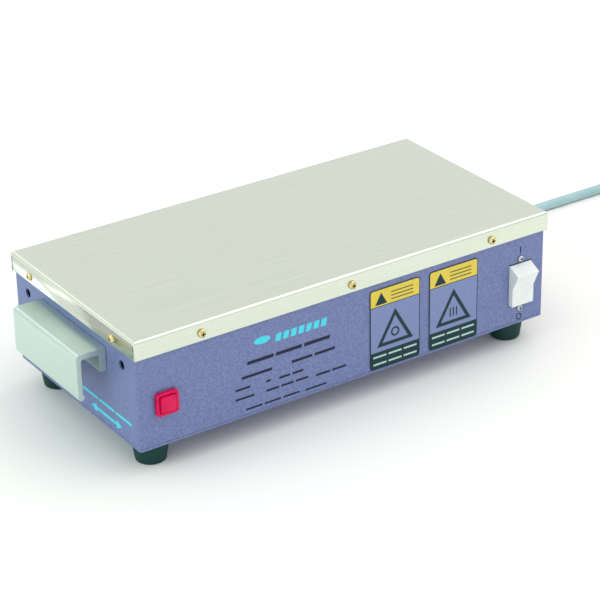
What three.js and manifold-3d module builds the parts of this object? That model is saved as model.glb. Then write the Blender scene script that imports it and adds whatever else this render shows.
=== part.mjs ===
// Plate demagnetizer: a laminated U-core with two coils in a painted steel case, under a
// stainless cover over which the work is moved. Millimetres, +Z up, +X along the front from
// left to right, +Y from front to back. The origin is under the middle of the object, where
// its feet stand.

import * as THREE from 'three';
import { mergeVertices } from 'three/addons/utils/BufferGeometryUtils.js';
import Module from 'manifold-3d';

const wasm = await Module();
wasm.setup();

// ---------------------------------------------------------------- driving dimensions

// Whole machine
const COVER_LENGTH = 400;
const COVER_WIDTH = 198;
const BODY_HEIGHT = 97;
const FOOT_HEIGHT = 22;
const FIT = 0.3; // gap between two pieces that touch or fit together

// Stainless cover
const COVER_SHEET = 1.2;
const COVER_SKIRT = 16.5;
const COVER_BEND_RADIUS = 3;
const COVER_SEAM = 0.5;

// Painted case and bottom plate
const CASE_WALL = 1.6;
const CASE_CORNER_RADIUS = 3;
const CASE_FLANGE = 30;
const BOTTOM_THICKNESS = 2;
const END_HOLE_RADIUS = 4;
const END_HOLE_INSET = 23.5;
const END_HOLE_DROP = 29.5;

// Cover screws, M4 pan head
const COVER_SCREW_RADIUS = 2;
const COVER_SCREW_HEAD_RADIUS = 3.5;
const COVER_SCREW_HEAD_HEIGHT = 2.6;
const COVER_SCREW_LENGTH = 8;
const COVER_SCREW_DROP = 10;
const COVER_SCREW_INSET_X = 59.5;
const COVER_SCREW_INSET_Y = 33;

// Extruded handles
const HANDLE_LENGTH = 103;
const HANDLE_DROP = 24.5;
const HANDLE_REACH = 25.9;
const HANDLE_HEIGHT = 40;
const HANDLE_PLATE = 4;
const HANDLE_WEB = 4.5;
const HANDLE_FLANGE = 6;
const HANDLE_FLANGE_HEIGHT = 20;
const HANDLE_CORNER_RADIUS = 3.5;
const HANDLE_FILLET = 2;
const HANDLE_LIP_RADIUS = 2.8;
const HANDLE_SCREW_RADIUS = 2.5;
const HANDLE_SCREW_HEAD_RADIUS = 4.75;
const HANDLE_SCREW_HEAD_HEIGHT = 3.2;
const HANDLE_SCREW_GRIP = 4.5;
const HANDLE_SCREW_INSET = 16.5;

// Rubber feet and their screws
const FOOT_TOP_RADIUS = 15.5;
const FOOT_BOTTOM_RADIUS = 12.7;
const FOOT_EDGE_RADIUS = 1.5;
const FOOT_INSET_X = 23.2;
const FOOT_INSET_Y = 24.4;
const FOOT_SCREW_RADIUS = 2.5;
const FOOT_SCREW_HEAD_RADIUS = 4.75;
const FOOT_SCREW_HEAD_HEIGHT = 3.2;
const FOOT_SCREW_RECESS = 11;
const FOOT_SCREW_TAIL = 3;

// Rocker switch: hinge and faces measured in its middle position
const SWITCH_INSET = 27.2;
const SWITCH_RISE = 37.6;
const ROCKER_WIDTH = 22.3;
const ROCKER_FACE = 16;
const ROCKER_TILT = 12.5; // degrees from middle to on, and from middle to off
const ROCKER_VALLEY = 10; // from the hinge to the valley between the two faces
const ROCKER_END = 13; // length of each sloping end
const ROCKER_END_ANGLE = 15.1; // degrees that each end flares towards the panel
const ROCKER_HINGE_DEPTH = 5; // behind the panel's outer face
const ROCKER_AXLE_RADIUS = 2;
const ROCKER_AXLE_LENGTH = 1.6;
const ROCKER_CLEARANCE = 0.4;
const SWITCH_WALL = 1.8;
const SWITCH_DEPTH = 24;
const SWITCH_CAVITY = 13;
const SWITCH_EAR_WIDTH = 16;
const SWITCH_EAR_THICKNESS = 1.6;
const SWITCH_SCREW_SPACING = 46;
const SWITCH_SCREW_RADIUS = 1.5;
const SWITCH_SCREW_HEAD_RADIUS = 2.75;
const SWITCH_SCREW_HEAD_HEIGHT = 2;
const SWITCH_SCREW_LENGTH = 8;

// Pilot lamp
const LAMP_INSET = 26;
const LAMP_RISE = 37.5;
const LAMP_SIZE = 20;
const LAMP_CORNER_RADIUS = 3;
const LAMP_RIM = 3.2;
const LAMP_WINDOW_SIZE = 13.4;
const LAMP_WINDOW_HEIGHT = 1.4;
const LAMP_BODY_SIZE = 13.4;
const LAMP_BODY_DEPTH = 30;

// Adhesive labels on the front
const LABEL_WIDTH = 49.8;
const LABEL_HEIGHT = 72.3;
const LABEL_THICKNESS = 0.3;
const LABEL_CORNER_RADIUS = 3;
const LABEL_SPACING = 59.5;
const LABEL_INSET = 72.7; // from the cover's right end to the right label's edge
const LABEL_DROP = 22.4;

// Laminated core, clamped between end brackets by two tie rods
const CORE_END_CLEARANCE = 0.85; // between the coil former's end and the switch housing
const CORE_YOKE_HEIGHT = 30;
const CORE_POLE_WIDTH = 30;
const CORE_POLE_GAP = 48;
const CORE_HEADROOM = 2;
const BRACKET_THICKNESS = 4;
const BRACKET_FOOT = 20;
const BRACKET_STEP = 2; // the bracket ends this far below the yoke's top
const TIE_ROD_RADIUS = 4;
const TIE_ROD_HEAD_RADIUS = 7.5;
const TIE_ROD_HEAD_HEIGHT = 5.3;
const BRACKET_BOLT_RADIUS = 3;
const BRACKET_BOLT_HEAD_RADIUS = 5.8;
const BRACKET_BOLT_HEAD_HEIGHT = 4;
const BRACKET_BOLT_SPACING = 76;

// Coils on their formers
const FORMER_WALL = 1.6;
const FORMER_FLANGE = 2;
const FORMER_LIP = 1; // how far the former's flanges stand out past the coil
const COIL_THICKNESS = 15;
const COIL_TOP_SPACE = 10; // below the pole faces

// Small electrical pieces
const CUTOUT_LENGTH = 24;
const CUTOUT_DEPTH = 7;
const CUTOUT_HEIGHT = 12;
const TERMINAL_LENGTH = 44;
const TERMINAL_DEPTH = 20;
const TERMINAL_HEIGHT = 17;
const TERMINAL_POLES = 3;
const TERMINAL_GROOVE = 1.6;
const EARTH_SCREW_RADIUS = 2.5;
const EARTH_SCREW_HEAD_RADIUS = 5;
const EARTH_SCREW_HEAD_HEIGHT = 3.6;
const EARTH_SCREW_LENGTH = 12;

// Cable gland, strain relief, cord and plug
const CORD_RADIUS = 4.35;
const CORD_CLEARANCE = 0.15; // under the cord where it lies
const GLAND_CLEARANCE = 0.4; // between the locknut and the case's flange
const GLAND_FROM_BACK = 21;
const GLAND_ACROSS_FLATS = 22;
const GLAND_FLANGE = 6;
const GLAND_THREAD_RADIUS = 8.8;
const GLAND_THREAD_LENGTH = 11;
const LOCKNUT_THICKNESS = 4;
const RELIEF_LENGTH = 32;
const RELIEF_ROOT_RADIUS = 8;
const RELIEF_TIP_RADIUS = 5.4;
const COIL_CENTRE_X = 460;
const COIL_CENTRE_Y = 8;
const COIL_MEAN_RADIUS = 47.9;
const COIL_TRACKS = 2;
const COIL_LAYERS = 3;
const COIL_LEAD = 34;
const PLUG_WIDTH = 26;
const PLUG_LENGTH = 34;
const PLUG_NECK_LENGTH = 22;
const PLUG_NECK_ROOT_RADIUS = 9;
const PLUG_NECK_TIP_RADIUS = 5.4;
const PLUG_BLADE = [17.5, 1.5, 6.4];
const PLUG_BLADE_SPACING = 12.7;
const PLUG_EARTH_DROP = 11.9;
const PLUG_EARTH_RADIUS = 2.4;
const PLUG_EARTH_LENGTH = 20.5;

// ---------------------------------------------------------------- derived places

const TOP_Z = FOOT_HEIGHT + BODY_HEIGHT;
const PLATE_TOP_Z = FOOT_HEIGHT + BOTTOM_THICKNESS;
const CASE_BOTTOM_Z = PLATE_TOP_Z + FIT;
const CASE_TOP_Z = TOP_Z - COVER_BEND_RADIUS - FIT; // clear of the cover's bend
const CASE_LENGTH = COVER_LENGTH - 2 * (COVER_SHEET + FIT);
const CASE_WIDTH = COVER_WIDTH - 2 * (COVER_SHEET + FIT);
const CASE_X = CASE_LENGTH / 2;
const CASE_Y = CASE_WIDTH / 2;
const COVER_X = COVER_LENGTH / 2;
const COVER_Y = COVER_WIDTH / 2;
const INNER_X = CASE_X - CASE_WALL;
const INNER_Y = CASE_Y - CASE_WALL;

const SWITCH_X = COVER_X - SWITCH_INSET;
const SWITCH_Z = FOOT_HEIGHT + SWITCH_RISE;
const HINGE_Y = -CASE_Y + ROCKER_HINGE_DEPTH;
const LAMP_X = -COVER_X + LAMP_INSET;
const LAMP_Z = FOOT_HEIGHT + LAMP_RISE;

const CORE_Y = CORE_POLE_GAP / 2 + CORE_POLE_WIDTH;
const CORE_BOTTOM_Z = PLATE_TOP_Z + FIT;
const CORE_TOP_Z = TOP_Z - COVER_SHEET - CORE_HEADROOM;
const YOKE_TOP_Z = CORE_BOTTOM_Z + CORE_YOKE_HEIGHT;
const POLE_Y = (CORE_POLE_GAP + CORE_POLE_WIDTH) / 2;
const TIE_ROD_Z = CORE_BOTTOM_Z + CORE_YOKE_HEIGHT / 2;

const FORMER_BOTTOM_Z = YOKE_TOP_Z + FIT;
const FORMER_TOP_Z = CORE_TOP_Z - COIL_TOP_SPACE;
const COIL_OUT = FIT + FORMER_WALL + FIT + COIL_THICKNESS; // from the pole's face to the coil's
const SWITCH_HALF_WIDTH = ROCKER_WIDTH / 2 + ROCKER_CLEARANCE + SWITCH_WALL;
const CORE_X = SWITCH_X - SWITCH_HALF_WIDTH - CORE_END_CLEARANCE - COIL_OUT - FORMER_LIP;

const GLAND_Y = CASE_Y - GLAND_FROM_BACK;
const GLAND_HEX_RADIUS = GLAND_ACROSS_FLATS / Math.sqrt(3);
const GLAND_Z = CASE_BOTTOM_Z + CASE_WALL + GLAND_CLEARANCE + GLAND_HEX_RADIUS;
const RELIEF_X = CASE_X + FIT + GLAND_FLANGE + FIT;
const CORD_START_X = RELIEF_X + RELIEF_LENGTH + FIT;

// ---------------------------------------------------------------- solids and small shapes

function solidOf(geometry) {
  const bare = geometry.clone();
  bare.deleteAttribute('normal');
  bare.deleteAttribute('uv');
  const merged = mergeVertices(bare, 1e-4);
  return new wasm.Manifold(new wasm.Mesh({
    numProp: 3,
    vertProperties: new Float32Array(merged.attributes.position.array),
    triVerts: new Uint32Array(merged.index.array),
  }));
}

function geometryOf(solid) {
  const mesh = solid.getMesh();
  const geometry = new THREE.BufferGeometry();
  geometry.setAttribute('position', new THREE.BufferAttribute(new Float32Array(mesh.vertProperties), 3));
  geometry.setIndex(new THREE.BufferAttribute(new Uint32Array(mesh.triVerts), 1));
  geometry.computeVertexNormals();
  return geometry;
}

const join = (first, ...others) =>
  geometryOf(others.reduce((whole, piece) => whole.add(solidOf(piece)), solidOf(first)));

const cut = (first, ...tools) =>
  geometryOf(tools.reduce((rest, tool) => rest.subtract(solidOf(tool)), solidOf(first)));

const common = (first, second) => geometryOf(solidOf(first).intersect(solidOf(second)));

// A block between two corners.
function block(from, to) {
  const geometry = new THREE.BoxGeometry(to[0] - from[0], to[1] - from[1], to[2] - from[2]);
  return geometry.translate((from[0] + to[0]) / 2, (from[1] + to[1]) / 2, (from[2] + to[2]) / 2);
}

// A round solid along X, Y or Z. The profile is a list of [distance along the axis, radius].
function turned(axis, centre, profile, sides = 16) {
  const points = profile.map(([along, radius]) => new THREE.Vector2(radius, along));
  const geometry = new THREE.LatheGeometry(points, sides); // turned about Y
  if (axis === 'x') geometry.rotateZ(-Math.PI / 2);
  if (axis === 'z') geometry.rotateX(Math.PI / 2);
  return geometry.translate(...centre);
}

function rod(axis, centre, from, to, radius, sides = 16) {
  return turned(axis, centre, [[from, 0], [from, radius], [to, radius], [to, 0]], sides);
}

function roundedRectangle(width, height, radius, shape = new THREE.Shape()) {
  const x = width / 2 - radius;
  const y = height / 2 - radius;
  shape.absarc(x, -y, radius, -Math.PI / 2, 0);
  shape.absarc(x, y, radius, 0, Math.PI / 2);
  shape.absarc(-x, y, radius, Math.PI / 2, Math.PI);
  shape.absarc(-x, -y, radius, Math.PI, 1.5 * Math.PI);
  shape.closePath();
  return shape;
}

// A flat outline given thickness upwards from a height.
function raised(shape, fromZ, toZ, curveSegments = 2) {
  const settings = { depth: toZ - fromZ, bevelEnabled: false, curveSegments };
  return new THREE.ExtrudeGeometry(shape, settings).translate(0, 0, fromZ);
}

// An outline drawn on the front panel (X to the right, Z up) and given depth towards the back.
function onFront(shape, x, z, frontY, backY, curveSegments = 2) {
  const settings = { depth: backY - frontY, bevelEnabled: false, curveSegments };
  return new THREE.ExtrudeGeometry(shape, settings).rotateX(Math.PI / 2).translate(x, backY, z);
}

// A pan-head screw. It points along its axis in the given sense, its head's seat at the centre.
function panScrew(axis, sense, seat, radius, headRadius, headHeight, length) {
  const profile = [
    [-headHeight, 0], [-headHeight, headRadius * 0.65], [-headHeight * 0.5, headRadius],
    [0, headRadius], [0, radius], [length, radius], [length, 0],
  ];
  return turned(axis, seat, sense > 0 ? profile : mirrored(profile), 12);
}

const mirrored = (profile) => profile.map(([along, radius]) => [-along, radius]).reverse();

const finish = (color, roughness, metalness) => ({ color, roughness, metalness });
const STAINLESS = finish(0xd6dccf, 0.32, 1);
const PAINT = finish(0x7d86b4, 0.55, 0.1);
const ALUMINIUM = finish(0xcbdcd4, 0.42, 1);
const YELLOW_ZINC = finish(0xc4ac52, 0.35, 1);
const BRIGHT_ZINC = finish(0xc9ccd0, 0.3, 1);
const FOOT_RUBBER = finish(0x123f38, 0.7, 0);
const WHITE_PLASTIC = finish(0xf2f4f2, 0.35, 0);
const BLACK_PLASTIC = finish(0x1c1d20, 0.5, 0);
const RED_LENS = finish(0xd8104e, 0.15, 0);
const LABEL_FILM = finish(0xd9c45a, 0.5, 0);
const CORE_STEEL = finish(0x4c4f55, 0.5, 0.8);
const COIL_TAPE = finish(0xc8a060, 0.6, 0);
const FORMER_PLASTIC = finish(0xe6ddc6, 0.5, 0);
const CORD_SHEATH = finish(0xa5cdd0, 0.55, 0);
const GREY_PLASTIC = finish(0x8fa3a6, 0.5, 0);
const PIN_BRASS = finish(0xd8c487, 0.3, 1);

const machine = new THREE.Group();

function add(name, geometry, look) {
  const mesh = new THREE.Mesh(geometry, new THREE.MeshStandardMaterial(look));
  mesh.name = name;
  machine.add(mesh);
  return mesh;
}

// ---------------------------------------------------------------- where the screws go

const screwSidesX = [['left', -1], ['right', 1]];
const screwSidesY = [['front', -1], ['back', 1]];
const coverScrewXs = [-(COVER_X - COVER_SCREW_INSET_X), 0, COVER_X - COVER_SCREW_INSET_X];
const coverScrewYs = [-(COVER_Y - COVER_SCREW_INSET_Y), COVER_Y - COVER_SCREW_INSET_Y];
const COVER_SCREW_Z = TOP_Z - COVER_SCREW_DROP;
const handleScrewYs = [-(HANDLE_LENGTH / 2 - HANDLE_SCREW_INSET), HANDLE_LENGTH / 2 - HANDLE_SCREW_INSET];
const HANDLE_TOP_Z = TOP_Z - HANDLE_DROP;
const HANDLE_SCREW_Z = HANDLE_TOP_Z - HANDLE_FLANGE_HEIGHT / 2 - 1;
const footXs = [-(COVER_X - FOOT_INSET_X), COVER_X - FOOT_INSET_X];
const footYs = [-(COVER_Y - FOOT_INSET_Y), COVER_Y - FOOT_INSET_Y];
const switchScrewZs = [SWITCH_Z - SWITCH_SCREW_SPACING / 2, SWITCH_Z + SWITCH_SCREW_SPACING / 2];

// Clearance holes through the skirts and the case for the cover's screws.
function coverScrewHoles() {
  const radius = COVER_SCREW_RADIUS + FIT;
  const reach = COVER_SCREW_LENGTH;
  const holes = [];
  for (const [, side] of screwSidesY) {
    for (const x of coverScrewXs) {
      holes.push(rod('y', [x, side * COVER_Y, COVER_SCREW_Z], -reach, reach, radius, 8));
    }
  }
  for (const [, side] of screwSidesX) {
    for (const y of coverScrewYs) {
      holes.push(rod('x', [side * COVER_X, y, COVER_SCREW_Z], -reach, reach, radius, 8));
    }
  }
  return holes;
}

// ---------------------------------------------------------------- cover, case and bottom plate

// A block with rounded upper edges, for the cover's outside and inside.
function softTopped(halfX, halfY, bottom, top, radius) {
  const section = (half) => {
    const shape = new THREE.Shape();
    shape.moveTo(-half, bottom);
    shape.lineTo(half, bottom);
    shape.absarc(half - radius, top - radius, radius, 0, Math.PI / 2);
    shape.absarc(-half + radius, top - radius, radius, Math.PI / 2, Math.PI);
    shape.closePath();
    return shape;
  };
  const extrude = (half, length) => new THREE.ExtrudeGeometry(
    section(half), { depth: 2 * length, bevelEnabled: false, curveSegments: 3 },
  ).translate(0, 0, -length).rotateX(Math.PI / 2);
  const alongY = extrude(halfX, halfY);
  const alongX = extrude(halfY, halfX).rotateZ(Math.PI / 2);
  return common(alongY, alongX);
}

function makeCover() {
  const skirtZ = TOP_Z - COVER_SKIRT;
  const outside = softTopped(COVER_X, COVER_Y, skirtZ, TOP_Z, COVER_BEND_RADIUS);
  const inside = softTopped(
    COVER_X - COVER_SHEET, COVER_Y - COVER_SHEET, skirtZ - 1, TOP_Z - COVER_SHEET,
    COVER_BEND_RADIUS - COVER_SHEET,
  );
  const seams = [];
  for (const x of [-1, 1]) {
    for (const y of [-1, 1]) {
      const seamY = y * (COVER_Y - COVER_SHEET - COVER_SEAM / 2);
      seams.push(block(
        [x * COVER_X - 2 * COVER_SHEET, seamY - COVER_SEAM / 2, skirtZ - 1],
        [x * COVER_X + 2 * COVER_SHEET, seamY + COVER_SEAM / 2, TOP_Z - COVER_BEND_RADIUS],
      ));
    }
  }
  add('top_cover', cut(outside, inside, ...seams, ...coverScrewHoles()), STAINLESS);
}

const caseOutline = (inset) => roundedRectangle(
  CASE_LENGTH - 2 * inset, CASE_WIDTH - 2 * inset, Math.max(CASE_CORNER_RADIUS - inset, 1),
);

function makeCase() {
  const tube = cut(
    raised(caseOutline(0), CASE_BOTTOM_Z, CASE_TOP_Z, 4),
    raised(caseOutline(CASE_WALL), CASE_BOTTOM_Z + CASE_WALL, CASE_TOP_Z + 1, 4),
    raised(caseOutline(CASE_FLANGE), CASE_BOTTOM_Z - 1, CASE_TOP_Z),
  );
  const holes = [...coverScrewHoles()];
  const through = 2 * CASE_WALL;
  for (const [, side] of screwSidesX) {
    for (const y of [-(COVER_Y - END_HOLE_INSET), COVER_Y - END_HOLE_INSET]) {
      holes.push(rod('x', [side * CASE_X, y, TOP_Z - END_HOLE_DROP], -through, through, END_HOLE_RADIUS));
    }
    for (const y of handleScrewYs) {
      const radius = HANDLE_SCREW_RADIUS + FIT;
      holes.push(rod('x', [side * CASE_X, y, HANDLE_SCREW_Z], -through, through, radius, 8));
    }
  }
  for (const x of footXs) {
    for (const y of footYs) {
      holes.push(rod('z', [x, y, CASE_BOTTOM_Z], -through, through, FOOT_SCREW_RADIUS + FIT, 16));
    }
  }
  const opening = 2 * rockerReach() + 2 * ROCKER_CLEARANCE;
  const switchHole = roundedRectangle(ROCKER_WIDTH + 2 * ROCKER_CLEARANCE, opening, 0.5);
  holes.push(onFront(switchHole, SWITCH_X, SWITCH_Z, -CASE_Y - through, -CASE_Y + through, 2));
  for (const z of switchScrewZs) {
    const radius = SWITCH_SCREW_RADIUS + FIT;
    holes.push(rod('y', [SWITCH_X, -CASE_Y, z], -through, through, radius, 8));
  }
  const lampHole = roundedRectangle(LAMP_BODY_SIZE + 2 * FIT, LAMP_BODY_SIZE + 2 * FIT, 1);
  holes.push(onFront(lampHole, LAMP_X, LAMP_Z, -CASE_Y - through, -CASE_Y + through, 2));
  holes.push(rod('x', [CASE_X, GLAND_Y, GLAND_Z], -through, through, GLAND_THREAD_RADIUS + FIT));
  holes.push(rod('z', [earthX(), earthY(), CASE_BOTTOM_Z], -through, through, EARTH_SCREW_RADIUS + FIT, 16));
  add('case_shell', cut(tube, ...holes), PAINT);
}

function makeBottomPlate() {
  const holes = [];
  const through = 2 * BOTTOM_THICKNESS;
  for (const x of footXs) {
    for (const y of footYs) {
      holes.push(rod('z', [x, y, FOOT_HEIGHT], -through, through, FOOT_SCREW_RADIUS + FIT, 16));
    }
  }
  for (const [, side] of screwSidesX) {
    for (const y of [-BRACKET_BOLT_SPACING / 2, BRACKET_BOLT_SPACING / 2]) {
      const x = side * bracketBoltX();
      holes.push(rod('z', [x, y, FOOT_HEIGHT], -through, through, BRACKET_BOLT_RADIUS + FIT, 16));
    }
  }
  holes.push(rod('z', [earthX(), earthY(), FOOT_HEIGHT], -through, through, EARTH_SCREW_RADIUS + FIT, 16));
  add('bottom_plate', cut(raised(caseOutline(0), FOOT_HEIGHT, PLATE_TOP_Z, 4), ...holes), PAINT);
}

function makeCoverScrews() {
  const screw = (axis, sense, seat) => panScrew(
    axis, sense, seat, COVER_SCREW_RADIUS, COVER_SCREW_HEAD_RADIUS, COVER_SCREW_HEAD_HEIGHT,
    COVER_SCREW_LENGTH,
  );
  for (const [name, side] of screwSidesY) {
    coverScrewXs.forEach((x, index) => {
      const seat = [x, side * (COVER_Y + FIT), COVER_SCREW_Z];
      add(`cover_screw_${name}_${index + 1}`, screw('y', -side, seat), YELLOW_ZINC);
    });
  }
  for (const [name, side] of screwSidesX) {
    coverScrewYs.forEach((y, index) => {
      const seat = [side * (COVER_X + FIT), y, COVER_SCREW_Z];
      add(`cover_screw_${name}_${index + 1}`, screw('x', -side, seat), YELLOW_ZINC);
    });
  }
}

// ---------------------------------------------------------------- handles

// Section of the extrusion: first coordinate outwards from the case, second upwards.
function handleSection() {
  const out = HANDLE_REACH;
  const inner = out - HANDLE_PLATE;
  const lip = HANDLE_LIP_RADIUS;
  const fillet = HANDLE_FILLET;
  const edge = HANDLE_FLANGE / 4;
  const lipMeets = Math.acos((lip - HANDLE_PLATE) / lip);
  const shape = new THREE.Shape();
  shape.moveTo(0, 0);
  shape.lineTo(0, -HANDLE_FLANGE_HEIGHT + edge);
  shape.absarc(edge, -HANDLE_FLANGE_HEIGHT + edge, edge, Math.PI, 1.5 * Math.PI);
  shape.absarc(HANDLE_FLANGE - edge, -HANDLE_FLANGE_HEIGHT + edge, edge, -Math.PI / 2, 0);
  shape.absarc(HANDLE_FLANGE + fillet, -HANDLE_WEB - fillet, fillet, Math.PI, Math.PI / 2, true);
  shape.absarc(inner - fillet, -HANDLE_WEB - fillet, fillet, Math.PI / 2, 0, true);
  shape.absarc(out - lip, -HANDLE_HEIGHT + lip, lip, lipMeets, 2 * Math.PI);
  shape.absarc(out - HANDLE_CORNER_RADIUS, -HANDLE_CORNER_RADIUS, HANDLE_CORNER_RADIUS, 0, Math.PI / 2);
  shape.closePath();
  return shape;
}

function makeHandles() {
  for (const [name, side] of screwSidesX) {
    const geometry = new THREE.ExtrudeGeometry(
      handleSection(), { depth: HANDLE_LENGTH, bevelEnabled: false, curveSegments: 3 },
    );
    geometry.translate(CASE_X + FIT, 0, -HANDLE_LENGTH / 2).rotateX(Math.PI / 2);
    if (side < 0) geometry.rotateZ(Math.PI);
    geometry.translate(0, 0, HANDLE_TOP_Z);
    const seatX = side * (INNER_X - FIT);
    const length = CASE_WALL + 2 * FIT + HANDLE_SCREW_GRIP;
    const holes = handleScrewYs.map((y) => rod(
      'x', [side * CASE_X, y, HANDLE_SCREW_Z], side > 0 ? 0 : -HANDLE_SCREW_GRIP - 1,
      side > 0 ? HANDLE_SCREW_GRIP + 1 : 0, HANDLE_SCREW_RADIUS + FIT, 16,
    ));
    add(`handle_${name}`, cut(geometry, ...holes), ALUMINIUM);
    handleScrewYs.forEach((y, index) => add(
      `handle_screw_${name}_${index + 1}`,
      panScrew('x', side, [seatX, y, HANDLE_SCREW_Z], HANDLE_SCREW_RADIUS, HANDLE_SCREW_HEAD_RADIUS,
        HANDLE_SCREW_HEAD_HEIGHT, length),
      BRIGHT_ZINC,
    ));
  }
}

// ---------------------------------------------------------------- feet

function makeFeet() {
  const bore = FOOT_SCREW_RADIUS + FIT;
  const recess = FOOT_SCREW_HEAD_RADIUS + 1;
  const top = FOOT_HEIGHT - FIT;
  const e = FOOT_EDGE_RADIUS;
  const profile = [
    [top, bore], [FOOT_SCREW_RECESS, bore], [FOOT_SCREW_RECESS, recess], [0, recess],
    [0, FOOT_BOTTOM_RADIUS - e], [e * 0.3, FOOT_BOTTOM_RADIUS - e * 0.3], [e, FOOT_BOTTOM_RADIUS],
    [top - e / 2, FOOT_TOP_RADIUS], [top, FOOT_TOP_RADIUS - e / 2], [top, bore],
  ];
  for (const [nameY, indexY] of [['front', 0], ['back', 1]]) {
    for (const [nameX, indexX] of [['left', 0], ['right', 1]]) {
      const x = footXs[indexX];
      const y = footYs[indexY];
      add(`foot_${nameY}_${nameX}`, turned('z', [x, y, 0], profile, 20), FOOT_RUBBER);
      const seat = [x, y, FOOT_SCREW_RECESS - FIT];
      const length = CASE_BOTTOM_Z + CASE_WALL + FOOT_SCREW_TAIL - seat[2];
      add(`foot_screw_${nameY}_${nameX}`, panScrew('z', 1, seat, FOOT_SCREW_RADIUS, FOOT_SCREW_HEAD_RADIUS,
        FOOT_SCREW_HEAD_HEIGHT, length), BRIGHT_ZINC);
    }
  }
}

// ---------------------------------------------------------------- rocker switch

// Corner of the rocker's upper end nearest the panel, in the middle position: out, up.
function rockerEnd() {
  const tilt = THREE.MathUtils.degToRad(ROCKER_TILT);
  const flare = THREE.MathUtils.degToRad(ROCKER_END_ANGLE);
  const ridge = [ROCKER_VALLEY + ROCKER_FACE * Math.sin(tilt), ROCKER_FACE * Math.cos(tilt)];
  const end = [ridge[0] - ROCKER_END * Math.cos(flare), ridge[1] + ROCKER_END * Math.sin(flare)];
  return { ridge, end };
}

// How far the rocker's ends sweep from the hinge.
function rockerReach() {
  const { end } = rockerEnd();
  return Math.hypot(...end);
}

function makeSwitch() {
  const { ridge, end } = rockerEnd();
  const back = ROCKER_AXLE_RADIUS + 3;
  const half = [ridge, end, [end[0] - 3, end[1] - 3.5], [-back, back]];
  const corners = [[ROCKER_VALLEY, 0], ...half, ...half.map(([out, up]) => [out, -up]).reverse()];
  const shape = new THREE.Shape(corners.map(([out, up]) => new THREE.Vector2(out, up)));
  const paddle = new THREE.ExtrudeGeometry(shape, { depth: ROCKER_WIDTH, bevelEnabled: false });
  paddle.translate(0, 0, -ROCKER_WIDTH / 2);
  // The shape's first axis turns to point out of the panel and its second to point up.
  const stand = new THREE.Matrix4().makeBasis(
    new THREE.Vector3(0, -1, 0), new THREE.Vector3(0, 0, 1), new THREE.Vector3(-1, 0, 0),
  );
  paddle.applyMatrix4(stand);
  const axleReach = ROCKER_WIDTH / 2 + ROCKER_CLEARANCE + ROCKER_AXLE_LENGTH;
  const axle = rod('x', [0, 0, 0], -axleReach, axleReach, ROCKER_AXLE_RADIUS, 16);
  const rocker = add('switch_rocker', join(paddle, axle), WHITE_PLASTIC);
  rocker.position.set(SWITCH_X, HINGE_Y, SWITCH_Z);
  rocker.rotation.x = THREE.MathUtils.degToRad(ROCKER_TILT);

  const front = -INNER_Y + FIT;
  const cavityX = ROCKER_WIDTH / 2 + ROCKER_CLEARANCE;
  const cavityZ = rockerReach() + ROCKER_CLEARANCE;
  const bodyX = SWITCH_HALF_WIDTH;
  const bodyZ = cavityZ + SWITCH_WALL;
  const earZ = SWITCH_SCREW_SPACING / 2 + 2 * SWITCH_SCREW_HEAD_RADIUS;
  const at = (dx, y, dz) => [SWITCH_X + dx, y, SWITCH_Z + dz];
  const body = block(at(-bodyX, front, -bodyZ), at(bodyX, front + SWITCH_DEPTH, bodyZ));
  const ears = block(
    at(-SWITCH_EAR_WIDTH / 2, front, -earZ), at(SWITCH_EAR_WIDTH / 2, front + SWITCH_EAR_THICKNESS, earZ),
  );
  const cavity = block(at(-cavityX, front - 1, -cavityZ), at(cavityX, front + SWITCH_CAVITY, cavityZ));
  const pivot = rod(
    'x', [SWITCH_X, HINGE_Y, SWITCH_Z], -2 * bodyX, 2 * bodyX, ROCKER_AXLE_RADIUS + FIT, 16,
  );
  const threads = switchScrewZs.map((z) => rod(
    'y', [SWITCH_X, front, z], -SWITCH_SCREW_LENGTH, SWITCH_SCREW_LENGTH, SWITCH_SCREW_RADIUS + FIT, 16,
  ));
  add('switch_housing', cut(join(body, ears), cavity, pivot, ...threads), BLACK_PLASTIC);
  switchScrewZs.forEach((z, index) => add(
    `switch_screw_${['lower', 'upper'][index]}`,
    panScrew('y', 1, [SWITCH_X, -CASE_Y - FIT, z], SWITCH_SCREW_RADIUS, SWITCH_SCREW_HEAD_RADIUS,
      SWITCH_SCREW_HEAD_HEIGHT, SWITCH_SCREW_LENGTH),
    BRIGHT_ZINC,
  ));
}

// ---------------------------------------------------------------- lamp and labels

function makeLamp() {
  const back = -CASE_Y - FIT;
  const rim = roundedRectangle(LAMP_SIZE, LAMP_SIZE, LAMP_CORNER_RADIUS);
  const window = roundedRectangle(LAMP_WINDOW_SIZE, LAMP_WINDOW_SIZE, LAMP_CORNER_RADIUS / 2);
  const lens = join(
    onFront(rim, LAMP_X, LAMP_Z, back - LAMP_RIM, back, 2),
    onFront(window, LAMP_X, LAMP_Z, back - LAMP_RIM - LAMP_WINDOW_HEIGHT, back - LAMP_RIM / 2, 1),
  );
  add('lamp_lens', lens, RED_LENS);
  const body = roundedRectangle(LAMP_BODY_SIZE, LAMP_BODY_SIZE, 1);
  add('lamp_body', onFront(body, LAMP_X, LAMP_Z, -CASE_Y, -CASE_Y + LAMP_BODY_DEPTH, 2), BLACK_PLASTIC);
}

function makeLabels() {
  const shape = roundedRectangle(LABEL_WIDTH, LABEL_HEIGHT, LABEL_CORNER_RADIUS);
  const rightX = COVER_X - LABEL_INSET - LABEL_WIDTH / 2;
  const z = TOP_Z - LABEL_DROP - LABEL_HEIGHT / 2;
  const back = -CASE_Y - FIT;
  [['left', rightX - LABEL_SPACING], ['right', rightX]].forEach(([name, x]) => {
    add(`front_label_${name}`, onFront(shape, x, z, back - LABEL_THICKNESS, back, 1), LABEL_FILM);
  });
}

// ---------------------------------------------------------------- core, brackets and coils

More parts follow.
